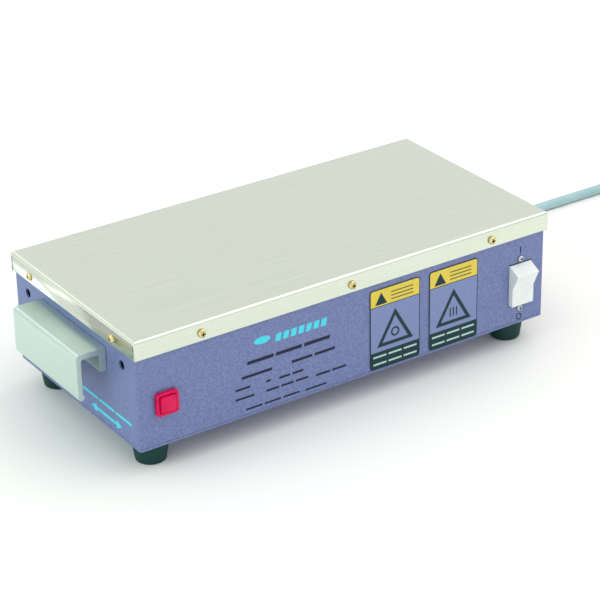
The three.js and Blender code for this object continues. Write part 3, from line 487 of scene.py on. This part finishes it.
# %% Floor and light
FLOOR_SIZE = 8
floor_shape = bmesh.new()
bmesh.ops.create_grid(floor_shape, x_segments=1, y_segments=1, size=FLOOR_SIZE / 2)
floor_mesh = bpy.data.meshes.new("floor")
floor_shape.to_mesh(floor_mesh)
floor_shape.free()
floor = bpy.data.objects.new("floor", floor_mesh)
floor_mesh.materials.append(finish(
    "matt_paper_floor", ("#FCFAF6", "#FDFCF9"), grain=(400, 400, 400), roughness=(0.85, 0.9),
))
scene.collection.objects.link(floor)

world = bpy.data.worlds.new("white_sky")
world.use_nodes = True
world.node_tree.nodes["Background"].inputs["Color"].default_value = linear("#FFFFFF")
world.node_tree.nodes["Background"].inputs["Strength"].default_value = 0.9
scene.world = world
scene.view_settings.view_transform = "Standard"


def softbox(name, towards, distance, size, power, colour=(1, 1, 1)):
    light = bpy.data.lights.new(name, "AREA")
    light.shape = "RECTANGLE"
    light.size, light.size_y = size
    light.energy = power
    light.color = colour
    lamp = bpy.data.objects.new(name, light)
    away = Vector(towards).normalized()
    facing = away.to_track_quat("Z", "Y").to_matrix().to_4x4()
    lamp.matrix_world = Matrix.Translation(away * distance) @ facing
    scene.collection.objects.link(lamp)


softbox("key_softbox", (0.5, -0.25, 0.83), 1.6, (2.0, 0.9), 6.5)
softbox("fill_softbox", (-0.85, 0.1, 0.5), 1.8, (1.2, 1.0), 6, colour=(0.6, 1.0, 0.88))
softbox("back_strip", (-0.22, 0.74, 0.63), 1.8, (1.2, 0.3), 1.2)
print("floor and light ready")

# %% [markdown]
# ## The stainless cover
# One sheet of 1.2 mm stainless steel with its four sides bent down. It could be a copy of the
# CAD solid, but a bevel gives finer bends: a cube without its bottom has its top edges rounded
# to the bend radius, which mitres them at the corners as a press brake does. The end skirts
# stop short of the front and back ones, so a narrow strip is cut out there for the open seam.
# Solidify then gives the sheet its thickness inwards.

# %% Cover
SHEET = 1.2
BEND_RADIUS = 3
SEAM = 0.9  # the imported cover's seam is 0.5 mm; it is drawn wider, to be seen from near by


def cut_strip(shape, low, high, stop, side):
    planes = ((Vector((0, mm(low), 0)), Vector((0, 1, 0))),
              (Vector((0, mm(high), 0)), Vector((0, 1, 0))),
              (Vector((0, 0, mm(stop))), UP))
    for place, normal in planes:
        bmesh.ops.bisect_plane(
            shape, geom=shape.verts[:] + shape.edges[:] + shape.faces[:], plane_co=place, plane_no=normal,
        )
    gone = []
    for face in shape.faces:
        centre = face.calc_center_median() * 1000
        inside = low < centre.y < high and centre.z < stop and centre.x * side > 0
        if inside and abs(face.normal.x) > 0.9:
            gone.append(face)
    bmesh.ops.delete(shape, geom=gone, context="FACES")


def cover_sheet():
    shape = bmesh.new()
    bmesh.ops.create_cube(shape, size=1)
    size = (cover_high - cover_low) / 1000
    shape.transform(Matrix.Translation((cover_low + cover_high) / 2000) @ Matrix.Diagonal((*size, 1)))
    bottom = [face for face in shape.faces if face.normal.z < -0.9]
    bmesh.ops.delete(shape, geom=bottom, context="FACES_ONLY")
    top_edges = [e for e in shape.edges if all(v.co.z > mm(TOP) - 1e-5 for v in e.verts)]
    bmesh.ops.bevel(
        shape, geom=top_edges, offset=mm(BEND_RADIUS), offset_type="OFFSET", affect="EDGES",
        segments=8, profile=0.5, material=-1,
    )
    inner = cover_high.y - SHEET
    stop = TOP - BEND_RADIUS
    for low, high in ((inner - SEAM, inner), (2 * MIDDLE - inner, 2 * MIDDLE - inner + SEAM)):
        for side in (-1, 1):
            cut_strip(shape, low, high, stop, side)
    bmesh.ops.recalc_face_normals(shape, faces=shape.faces)
    return shape


# Stainless steel, cold rolled and finely brushed along its length: a soft grey-green metal
# whose lines stretch each highlight across them. Real lines are about 0.05 mm apart. They are
# drawn at 0.5 mm, which is as fine as shows.
stainless = finish(
    "brushed_stainless", ("#D6DFD0", "#E1E8D9"), grain=(90, 0.5, 0.5), roughness=(0.2, 0.32), lift=0.006,
    sockets=METAL,
)
cover = piece("cover_sheet", cover_sheet(), stainless, replaces=["top_cover"], smooth=30)
thickness = cover.modifiers.new("sheet_thickness", "SOLIDIFY")
thickness.thickness = mm(SHEET)
thickness.offset = -1
rim = cover.modifiers.new("edge_radius", "BEVEL")
rim.width = mm(0.2)
rim.segments = 2
rim.limit_method = "ANGLE"
rim.angle_limit = math.radians(60)

# %% [markdown]
# ## The painted case
# A folded steel case and a screwed bottom plate under one coat of blue hammer enamel. As the
# enamel dries, it draws up into small rounded cells nearly two millimetres across, with
# a slight metallic shimmer. Voronoi cells give that relief, and a fine noise the shimmer.

# %% Hammer enamel
CELL, CELL_DEPTH = 1.8, 0.14


def hammer_enamel():
    material = finish(
        "hammer_enamel", ("#616FA0", "#7986B4"), grain=(1.5, 1.5, 1.5), roughness=(0.44, 0.6),
        sockets={"Metallic": 0.12, "Coat Weight": 0.12, "Coat Roughness": 0.3},
    )
    tree = material.node_tree
    place = add_node(tree, "ShaderNodeTexCoord", {})
    cells = add_node(tree, "ShaderNodeTexVoronoi", {
        "Vector": place.outputs["Object"], "Scale": 1000 / CELL, "Smoothness": 0.6,
    }, feature="SMOOTH_F1")
    bump = add_node(tree, "ShaderNodeBump", {
        "Height": cells.outputs["Distance"], "Distance": mm(CELL_DEPTH),
    })
    tree.links.new(bump.outputs["Normal"], tree.nodes["Principled BSDF"].inputs["Normal"])
    return material


case_paint = hammer_enamel()
softened("painted_case", "case_shell", case_paint, 0.5)
softened("painted_bottom_plate", "bottom_plate", case_paint, 0.6)

# %% [markdown]
# ## Handles
# Each handle is a length of aluminium extrusion with a rolled lip, satin anodised. The die
# leaves fine lines along it, and the anodising softens them to a silky, slightly green sheen.

# %% Handles
handle_aluminium = finish(
    "satin_anodised_aluminium", ("#C6D9D0", "#D2E1D9"), grain=(0.6, 70, 0.6), roughness=(0.34, 0.46),
    lift=0.008, sockets=METAL,
)
for side in ("left", "right"):
    softened(f"extruded_handle_{side}", f"handle_{side}", handle_aluminium, 0.45)

# %% [markdown]
# ## Rubber feet
# Four moulded rubber feet, tapered, with a deep hole for their screw. They are turned from a
# profile with a rounded lower edge. Moulded rubber is matt, with a fine mottle.

# %% Feet
FOOT_TOP, FOOT_BOTTOM, FOOT_EDGE = 15.5, 12.7, 1.5
FOOT_BORE, FOOT_RECESS, FOOT_SEAT = 2.8, 5.75, 11
foot_rubber = finish(
    "moulded_rubber", ("#01332E", "#033F3A"), grain=(0.7, 0.7, 0.7), roughness=(0.5, 0.66), lift=0.04,
    sockets={"Specular IOR Level": 0.35},
)


def foot_profile(height):
    angles = [math.radians(degrees) for degrees in (0, 22.5, 45, 67.5, 90)]
    edge = [
        (FOOT_BOTTOM - FOOT_EDGE * (1 - math.sin(a)), FOOT_EDGE * (1 - math.cos(a))) for a in angles
    ]
    return [
        (FOOT_BORE, height), (FOOT_BORE, FOOT_SEAT), (FOOT_RECESS, FOOT_SEAT), (FOOT_RECESS, 0.5),
        (FOOT_RECESS + 0.5, 0), *edge, (FOOT_TOP, height - 0.8), (FOOT_TOP - 0.3, height - 0.2),
        (FOOT_TOP - 0.8, height), (FOOT_BORE, height),
    ]


FEET = [f"{depth}_{side}" for depth in ("front", "back") for side in ("left", "right")]
for corner in FEET:
    low, high = box_mm(f"foot_{corner}")
    middle = (low + high) / 2
    piece(
        f"rubber_foot_{corner}", turned(foot_profile(high.z), (middle.x, middle.y, 0)),
        foot_rubber, replaces=[f"foot_{corner}"],
    )

# %% [markdown]
# ## Screws
# All of them are pan-head screws with a cross recess. The head is turned, and the recess is
# carved out by a Boolean with two tapered bars as the cutter. One function does the carving,
# and one makes a screw of any size whose head faces outwards.

# %% Screws
RECESS_SPAN = 1.5  # of the head's radius
BAR_WIDTH, BAR_DEPTH = 0.3, 0.9  # of the recess's span


def carved(body, cutter):
    objects = []
    for shape in (body, cutter):
        mesh = bpy.data.meshes.new("carving")
        shape.to_mesh(mesh)
        shape.free()
        objects.append(bpy.data.objects.new("carving", mesh))
        scene.collection.objects.link(objects[-1])
    difference = objects[0].modifiers.new("carve", "BOOLEAN")
    difference.operation = "DIFFERENCE"
    difference.object = objects[1]
    difference.solver = "EXACT"
    difference.use_self = True  # the recess's two bars cross each other
    result = bmesh.new()
    result.from_object(objects[0], bpy.context.evaluated_depsgraph_get())
    for done in objects:
        mesh = done.data
        bpy.data.objects.remove(done)
        bpy.data.meshes.remove(mesh)
    return result


def cross_recess(span):
    shape = bmesh.new()
    for turn_about in (0, 90):
        bar = bmesh.ops.create_cube(shape, size=1)["verts"]
        size = Matrix.Diagonal((mm(span), mm(span * BAR_WIDTH), mm(span * BAR_DEPTH), 1))
        turning = Matrix.Rotation(math.radians(turn_about), 4, "Z")
        bmesh.ops.transform(shape, matrix=turning @ size, verts=bar)
    lower = [v for v in shape.verts if v.co.z < 0]
    bmesh.ops.scale(shape, vec=(0.5, 0.5, 1), verts=lower)
    return shape


def pan_head(radius, height, shank, length, at, facing):
    dome = [(0, 0), (0.35, -0.01), (0.62, -0.1), (0.84, -0.28), (0.96, -0.52), (1.0, -0.75), (1.0, -0.97)]
    profile = [(radius * r, height * h) for r, h in dome]
    profile += [(radius - 0.15, -height), (shank, -height), (shank, 0.4 - length - height)]
    profile += [(shank - 0.4, -length - height), (0, -length - height)]
    body = turned(profile, (0, 0, 0), steps=32)
    screw = carved(body, cross_recess(radius * RECESS_SPAN))
    return placed(screw, at, facing)


yellow_zinc = finish(
    "yellow_passivated_zinc", ("#D6C07A", "#EFE2B0"), grain=(1.4, 1.4, 1.4), roughness=(0.1, 0.2),
    lift=0.01, sockets=METAL,
)
bright_zinc = finish(
    "bright_zinc_plate", ("#C3C8CB", "#D5DADB"), grain=(1.1, 1.1, 1.1), roughness=(0.2, 0.34),
    lift=0.008, sockets=METAL,
)
WAYS = {"front": (0, -1, 0), "back": (0, 1, 0), "left": (-1, 0, 0), "right": (1, 0, 0), "down": (0, 0, -1)}


def screw_for(node, way, radius, height, shank, material):
    low, high = box_mm(node)
    facing = Vector(WAYS[way])
    middle = (low + high) / 2
    half = (high - low) / 2
    reach = abs(half.dot(facing))
    at = middle + facing * reach
    length = 2 * reach - height
    return piece(
        f"pan_{node}", pan_head(radius, height, shank, length, at, facing), material, replaces=[node],
    )


for way, count in (("front", 3), ("back", 3), ("left", 2), ("right", 2)):
    for number in range(1, count + 1):
        screw_for(f"cover_screw_{way}_{number}", way, 3.5, 2.6, 2, yellow_zinc)
for level_name in ("lower", "upper"):
    screw_for(f"switch_screw_{level_name}", "front", 2.75, 2, 1.5, bright_zinc)
for corner in FEET:
    screw_for(f"foot_screw_{corner}", "down", 4.75, 3.2, 2.5, bright_zinc)
for way, inward in (("left", "right"), ("right", "left")):
    for number in (1, 2):
        screw_for(f"handle_screw_{way}_{number}", inward, 4.75, 3.2, 2.5, bright_zinc)
screw_for("earth_screw", "down", 5, 3.6, 2.5, bright_zinc)

# %% [markdown]
# ## Rocker switch
# A glossy white rocker, moulded in polyamide, that tips about a pin inside the panel. It rides
# on its own body. Its two faces meet in a shallow valley, and every edge has the small radius
# of the mould.

# %% Rocker
white_plastic = finish(
    "glossy_white_polyamide", ("#E6EDEB", "#EBF1EF"), grain=(12, 12, 12), roughness=(0.24, 0.3),
    sockets={"Coat Weight": 0.3, "Coat Roughness": 0.15},
)
softened(
    "rocker_paddle", "switch_rocker", white_plastic, 0.5, segments=4, body=ROCKER,
)

# %% [markdown]
# ## Pilot lamp
# A square bezel in red acrylic round a window that glows. A channel about a millimetre wide
# parts them, which shows as a dark line. The bezel is a rounded block: its front face is inset
# and pushed back to make the channel's floor, and the window stands on that floor.

# %% Lamp bezel
BEZEL_CORNER, BEZEL_BORDER, CHANNEL_DEPTH = 3, 2.5, 1.6
WINDOW_STEP, WINDOW_HALF, WINDOW_CORNER = 1.4, 6.7, 1.5

bezel_acrylic = finish(
    "moulded_red_acrylic", ("#CC004C", "#DE0058"), grain=(5, 5, 5), roughness=(0.14, 0.22),
    sockets={"Specular IOR Level": 0.25},
)
lamp_low, lamp_high = box_mm("lamp_lens")
lamp_middle = (lamp_low + lamp_high) / 2
bezel_front = lamp_low.y + WINDOW_STEP
bezel = rounded_block((lamp_low.x, bezel_front, lamp_low.z), lamp_high, BEZEL_CORNER, 0, axis=1)
bezel_face = [face for face in bezel.faces if face.normal.y < -0.9]
bmesh.ops.inset_individual(bezel, faces=bezel_face, thickness=mm(BEZEL_BORDER), use_even_offset=True)
sunk = bmesh.ops.extrude_discrete_faces(bezel, faces=bezel_face)["faces"]
bmesh.ops.translate(bezel, vec=(0, mm(CHANNEL_DEPTH), 0), verts=sunk[0].verts[:])
piece("lamp_bezel", soften(bezel, 0.4, 2), bezel_acrylic, replaces=["lamp_lens"])

# %% [markdown]
# Prisms moulded behind the window break the lamp's light into fine squares. A square Voronoi
# with no randomness gives them, and it drives the emission that stands for the lamp.

# %% Lamp window
PRISM = 1.9


def lens_acrylic():
    material = finish(
        "lit_red_acrylic", ("#B80042", "#D0004C"), grain=(5, 5, 5), roughness=(0.12, 0.2),
        sockets={"Specular IOR Level": 0.25, "Emission Strength": 0.3},
    )
    tree = material.node_tree
    place = add_node(tree, "ShaderNodeTexCoord", {})
    prisms = add_node(tree, "ShaderNodeTexVoronoi", {
        "Vector": place.outputs["Object"], "Scale": 1000 / PRISM, "Randomness": 0.0,
    }, feature="F1", distance="CHEBYCHEV")
    glow = spread(tree, prisms.outputs["Distance"], 0.0, 1.0, start=0.0, end=0.6)
    colour = mixed(tree, glow, linear("#FF1868"), linear("#380010"))
    tree.links.new(colour, tree.nodes["Principled BSDF"].inputs["Emission Color"])
    return material


window = rounded_block(
    (lamp_middle.x - WINDOW_HALF, lamp_low.y, lamp_middle.z - WINDOW_HALF),
    (lamp_middle.x + WINDOW_HALF, bezel_front + CHANNEL_DEPTH, lamp_middle.z + WINDOW_HALF),
    WINDOW_CORNER, 0.5, axis=1,
)
piece("lamp_window", window, lens_acrylic())

# %% [markdown]
# ## Labels
# Two vinyl labels on the front. Each is built in layers as it would be printed: a dark green
# ground with rounded corners, a violet field over its middle, a yellow band over its head, and
# plain marks on top. The ground stays bare along the edge, which gives the thin dark outline,
# and at the foot, which gives the dark panel. Their marks are plain shapes and carry no words.

# %% Label and ink finishes
INK = 0.06  # mm that each printed layer stands on the one below


def ink_finish(name, first, second):
    return finish(
        name, (first, second), grain=(1.2, 1.2, 1.2), roughness=(0.42, 0.55), lift=0.003,
        sockets={"Specular IOR Level": 0.3},
    )


ground_ink = ink_finish("label_green_ground", "#052C31", "#08373F")
field_film = ink_finish("label_violet_field", "#7686B3", "#808FBC")
band_ink = ink_finish("label_yellow_band", "#DAC544", "#E4D058")
pale_ink = ink_finish("label_pale_ink", "#A9CDC8", "#BBDAD5")
dark_ink = ink_finish("panel_dark_ink", "#12162F", "#191E3A")
cyan_ink = ink_finish("panel_cyan_ink", "#3FD3E8", "#57DDEE")

# %% [markdown]
# A printed mark starts as one flat face, a rectangle or a polygon. It is centred, scaled to its
# size in millimetres, leaned if it is a slanted mark, and stood on its panel. An inset with its
# middle taken out turns it into an outline, and an extrude gives it the ink's thickness.

# %% Printed marks
FRONT_PANEL = Matrix.Rotation(math.radians(90), 4, "X")
LEFT_PANEL = Matrix.Rotation(math.radians(-90), 4, "Z") @ FRONT_PANEL


def rectangle(shape):
    return bmesh.ops.create_grid(shape, x_segments=1, y_segments=1, size=0.5)["verts"]


def polygon(shape, sides):
    return bmesh.ops.create_circle(shape, cap_ends=True, radius=0.5, segments=sides)["verts"]


def printed(shape, flat, at, width, height, panel=FRONT_PANEL, band=0.0, lean=0.0):
    low, high = [Vector([pick(v.co[axis] for v in flat) for axis in range(3)]) for pick in (min, max)]
    size = Matrix.Diagonal((mm(width) / (high.x - low.x), mm(height) / (high.y - low.y), 1, 1))
    leaning = Matrix.Identity(4)
    leaning[0][1] = lean
    centred = Matrix.Translation(-(low + high) / 2)
    place = Matrix.Translation(Vector(at) / 1000) @ panel @ leaning @ size @ centred
    bmesh.ops.transform(shape, matrix=place, verts=flat)
    faces = [flat[0].link_faces[0]]
    if band:
        rim = bmesh.ops.inset_individual(shape, faces=faces, thickness=mm(band), use_even_offset=True)
        bmesh.ops.delete(shape, geom=faces, context="FACES_ONLY")
        faces = rim["faces"]
    grown = bmesh.ops.extrude_face_region(shape, geom=faces)["geom"]
    bmesh.ops.translate(
        shape, vec=panel.to_3x3() @ UP * mm(INK),
        verts=[v for v in grown if isinstance(v, bmesh.types.BMVert)],
    )


def printed_piece(name, shape, material):
    bmesh.ops.recalc_face_normals(shape, faces=shape.faces)
    return piece(name, shape, material)


def clipped_below(shape, z):
    bmesh.ops.bisect_plane(
        shape, geom=shape.verts[:] + shape.edges[:] + shape.faces[:], plane_co=(0, 0, mm(z)), plane_no=UP,
        clear_inner=True,
    )
    bmesh.ops.holes_fill(shape, edges=[e for e in shape.edges if e.is_boundary])
    return shape


# %% [markdown]
# Rows of plain solid bars stand for lettering, as on a layout drawing, one bar for a word. A bar
# is lower than the letters would be, so the row keeps the weight of a printed line and says
# nothing. The same helper lays out the full-height marks of the device.

# %% Rows of marks
BAR_HEIGHT = 0.42  # of the height of the letters
MARK_GAP = 2.2


def mark_row(shape, start, end, centre_z, height, length, surface, panel=FRONT_PANEL, lean=0.0):
    count = max(1, round(abs(end - start) / length))
    step = (end - start) / count
    for number in range(count):
        along = start + (number + 0.5) * step
        at = (along, surface, centre_z) if panel is FRONT_PANEL else (surface, along, centre_z)
        printed(shape, rectangle(shape), at, abs(step) - MARK_GAP, height, panel, lean=lean)


# %% [markdown]
# The label's head, field and foot are laid out in heights above its lower edge. The triangle is
# an outline of three sides. It holds a plain ring on one label and three bars on the other.

# %% Labels
LABEL_CORNER = 3
OUTLINE = 0.7
FIELD_LOW, FIELD_HIGH = 15.6, 56.4
TRIANGLE_LOW, TRIANGLE_WIDTH, TRIANGLE_HEIGHT, TRIANGLE_BAND = 19.5, 36.5, 31.5, 3.1
DEVICE_Z = 30
HEAD_Z = 63.6
LINE_SHIFTS = (-3.2, 0, 3.2)
FOOT_ROWS, FOOT_LETTER, FOOT_WORD, FOOT_INSET = [4.6, 11.2], 3.8, 14, 2

for side in ("left", "right"):
    node = f"front_label_{side}"
    low, high = box_mm(node)
    middle = (low + high) / 2
    first, second = low.y, low.y - INK
    inner_width = high.x - low.x - 2 * OUTLINE
    ground = rounded_block(low, high, LABEL_CORNER, 0, axis=1)
    piece(f"label_ground_{side}", ground, ground_ink, replaces=[node])

    field = bmesh.new()
    field_at = (middle.x, first, low.z + (FIELD_LOW + FIELD_HIGH) / 2)
    printed(field, rectangle(field), field_at, inner_width, FIELD_HIGH - FIELD_LOW)
    printed_piece(f"label_field_{side}", field, field_film)

    band = rounded_block(
        (low.x + OUTLINE, first - INK, low.z + OUTLINE), (high.x - OUTLINE, first, high.z - OUTLINE),
        LABEL_CORNER - OUTLINE, 0, axis=1,
    )
    head = clipped_below(band, low.z + FIELD_HIGH + OUTLINE)
    piece(f"label_band_{side}", head, band_ink)

    marks = bmesh.new()
    triangle_at = (middle.x, second, low.z + TRIANGLE_LOW + TRIANGLE_HEIGHT / 2)
    printed(marks, polygon(marks, 3), triangle_at, TRIANGLE_WIDTH, TRIANGLE_HEIGHT, band=TRIANGLE_BAND)
    if side == "left":
        printed(marks, polygon(marks, 32), (middle.x, second, low.z + DEVICE_Z), 8.5, 8.5, band=1.5)
    else:
        for shift in LINE_SHIFTS:
            printed(marks, rectangle(marks), (middle.x + shift, second, low.z + DEVICE_Z), 1.2, 8)
    printed(marks, polygon(marks, 3), (low.x + 11, second, low.z + HEAD_Z), 12, 10.6)
    for shift in LINE_SHIFTS:
        printed(marks, rectangle(marks), (low.x + 32, second, low.z + HEAD_Z + shift), 22, 0.8)
    printed_piece(f"label_marks_{side}", marks, ground_ink)

    rows = bmesh.new()
    for height in FOOT_ROWS:
        mark_row(
            rows, low.x + FOOT_INSET, high.x - FOOT_INSET, low.z + height, FOOT_LETTER * BAR_HEIGHT,
            FOOT_WORD, first,
        )
    printed_piece(f"label_rows_{side}", rows, pale_ink)

# %% [markdown]
# ## Printing on the panel
# The name block at the left of the panel is screen printed. It becomes a plain cyan device and
# five rows of bars. The switch gets the usual bar for on and ring for off.

# %% Panel printing
LEAN = 0.22
DARK_ROWS = [  # x from, x to, z of the middle, height of the letters, length of a word
    (-100.5, -20, 68.8, 7.2, 27),
    (-106, -75.5, 57.2, 5.7, 30), (-59, -15.2, 57.2, 5.7, 22),
    (-112, -96, 47.9, 4.6, 16), (-83.5, -77, 47.5, 4.6, 7), (-71, -46, 46.7, 4.6, 12.5),
    (-112.4, -92.5, 39.4, 4.4, 20), (-83.4, -41.5, 39, 4.4, 14), (-36, -4.5, 37.8, 4.4, 16),
    (-103, -50, 28.3, 3.8, 18), (-46.5, -24, 27.8, 3.8, 22),
]
dark = bmesh.new()
for start, end, centre_z, height, length in DARK_ROWS:
    mark_row(dark, start, end, centre_z, height * BAR_HEIGHT, length, FRONT, lean=LEAN)

switch_low, switch_high = box_mm("switch_screw_upper")
switch_x = (switch_low.x + switch_high.x) / 2
ON_HEIGHT, OFF_HEIGHT = 90.5, 28
printed(dark, rectangle(dark), (switch_x, FRONT, ON_HEIGHT), 1.2, 6)
printed(dark, polygon(dark, 32), (switch_x, FRONT, OFF_HEIGHT), 6, 6, band=0.9)
printed_piece("panel_dark_printing", dark, dark_ink)

cyan = bmesh.new()
printed(cyan, polygon(cyan, 32), (-85, FRONT, 85.2), 15, 6.4)
mark_row(cyan, -73.4, -23, 83.3, 6.6, 7.1, FRONT, lean=LEAN)
printed_piece("panel_cyan_printing", cyan, cyan_ink)

# %% [markdown]
# The left end has a double arrow for the way that the work is moved, under one row of bars.
# Each head is a polygon of three sides, turned on its side to point along the machine's depth.

# %% Arrow on the left end
ARROW_FROM, ARROW_TO, ARROW_HEIGHT = -70, -22.5, 31.6
ARROW_HEAD, ARROW_SHAFT = 8, 2.6
ROW_FROM, ROW_TO, ROW_MIDDLE, ROW_HEIGHT, WORD = -8, -87, 41.3, 5.6, 26

arrow = bmesh.new()
arrow_from, arrow_to = ARROW_FROM + MIDDLE, ARROW_TO + MIDDLE
printed(
    arrow, rectangle(arrow), (LEFT_END, (arrow_from + arrow_to) / 2, ARROW_HEIGHT),
    arrow_to - arrow_from - 2 * ARROW_HEAD, ARROW_SHAFT, LEFT_PANEL,
)
for tip, sense in ((arrow_from, 1), (arrow_to, -1)):
    on_its_side = LEFT_PANEL @ Matrix.Rotation(math.radians(-90 * sense), 4, "Z")
    head_at = (LEFT_END, tip + sense * ARROW_HEAD / 2, ARROW_HEIGHT)
    printed(arrow, polygon(arrow, 3), head_at, ARROW_HEAD, ARROW_HEAD, on_its_side)
mark_row(
    arrow, ROW_FROM + MIDDLE, ROW_TO + MIDDLE, ROW_MIDDLE, ROW_HEIGHT * BAR_HEIGHT, WORD, LEFT_END,
    LEFT_PANEL,
)
printed_piece("end_cyan_printing", arrow, cyan_ink)

# %% [markdown]
# ## Gland and the pieces inside
# The gland is moulded in the same grey plastic as the strain relief. The core, the coils and
# the terminals are closed in by the case. They keep their CAD solids, and each gets the finish
# of what it is: black plastic, lacquered laminations, taped windings, zinc plated steel.

# %% Gland
softened("gland_hexagon", "gland_body", grey_plastic, 0.5)
softened("gland_nut", "gland_locknut", grey_plastic, 0.4)

# %% Inner finishes
black_plastic = finish(
    "moulded_black_phenolic", ("#1A1B1E", "#242528"), grain=(0.8, 0.8, 0.8), roughness=(0.4, 0.55),
    lift=0.02,
)
# Laminations are 0.5 mm sheets stacked along X, so the grain is 0.5 mm that way.
core_steel = finish(
    "lacquered_laminations", ("#3C3F45", "#5A5E65"), grain=(0.5, 200, 200), roughness=(0.35, 0.5),
    lift=0.03, sockets=METAL,
)
winding_tape = finish(
    "cotton_winding_tape", ("#B98F50", "#CDA564"), grain=(40, 40, 3), roughness=(0.55, 0.7), lift=0.1,
)
former_plastic = finish(
    "moulded_former_nylon", ("#DDD3BA", "#E8E0CB"), grain=(2, 2, 2), roughness=(0.42, 0.55), lift=0.02,
)
INNER_FINISHES = {
    "switch_housing": black_plastic, "lamp_body": black_plastic, "thermal_cutout": black_plastic,
    "terminal_block": black_plastic, "core_stack": core_steel,
    "coil_front": winding_tape, "coil_back": winding_tape,
    "coil_former_front": former_plastic, "coil_former_back": former_plastic,
    "core_bracket_left": bright_zinc, "core_bracket_right": bright_zinc,
    "tie_rod_front": bright_zinc, "tie_rod_back": bright_zinc,
    "bracket_bolt_left_1": bright_zinc, "bracket_bolt_left_2": bright_zinc,
    "bracket_bolt_right_1": bright_zinc, "bracket_bolt_right_2": bright_zinc,
}
for node, material in INNER_FINISHES.items():
    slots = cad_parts[node].data.materials
    slots.clear()
    slots.append(material)
print(len(INNER_FINISHES), "inner nodes finished")
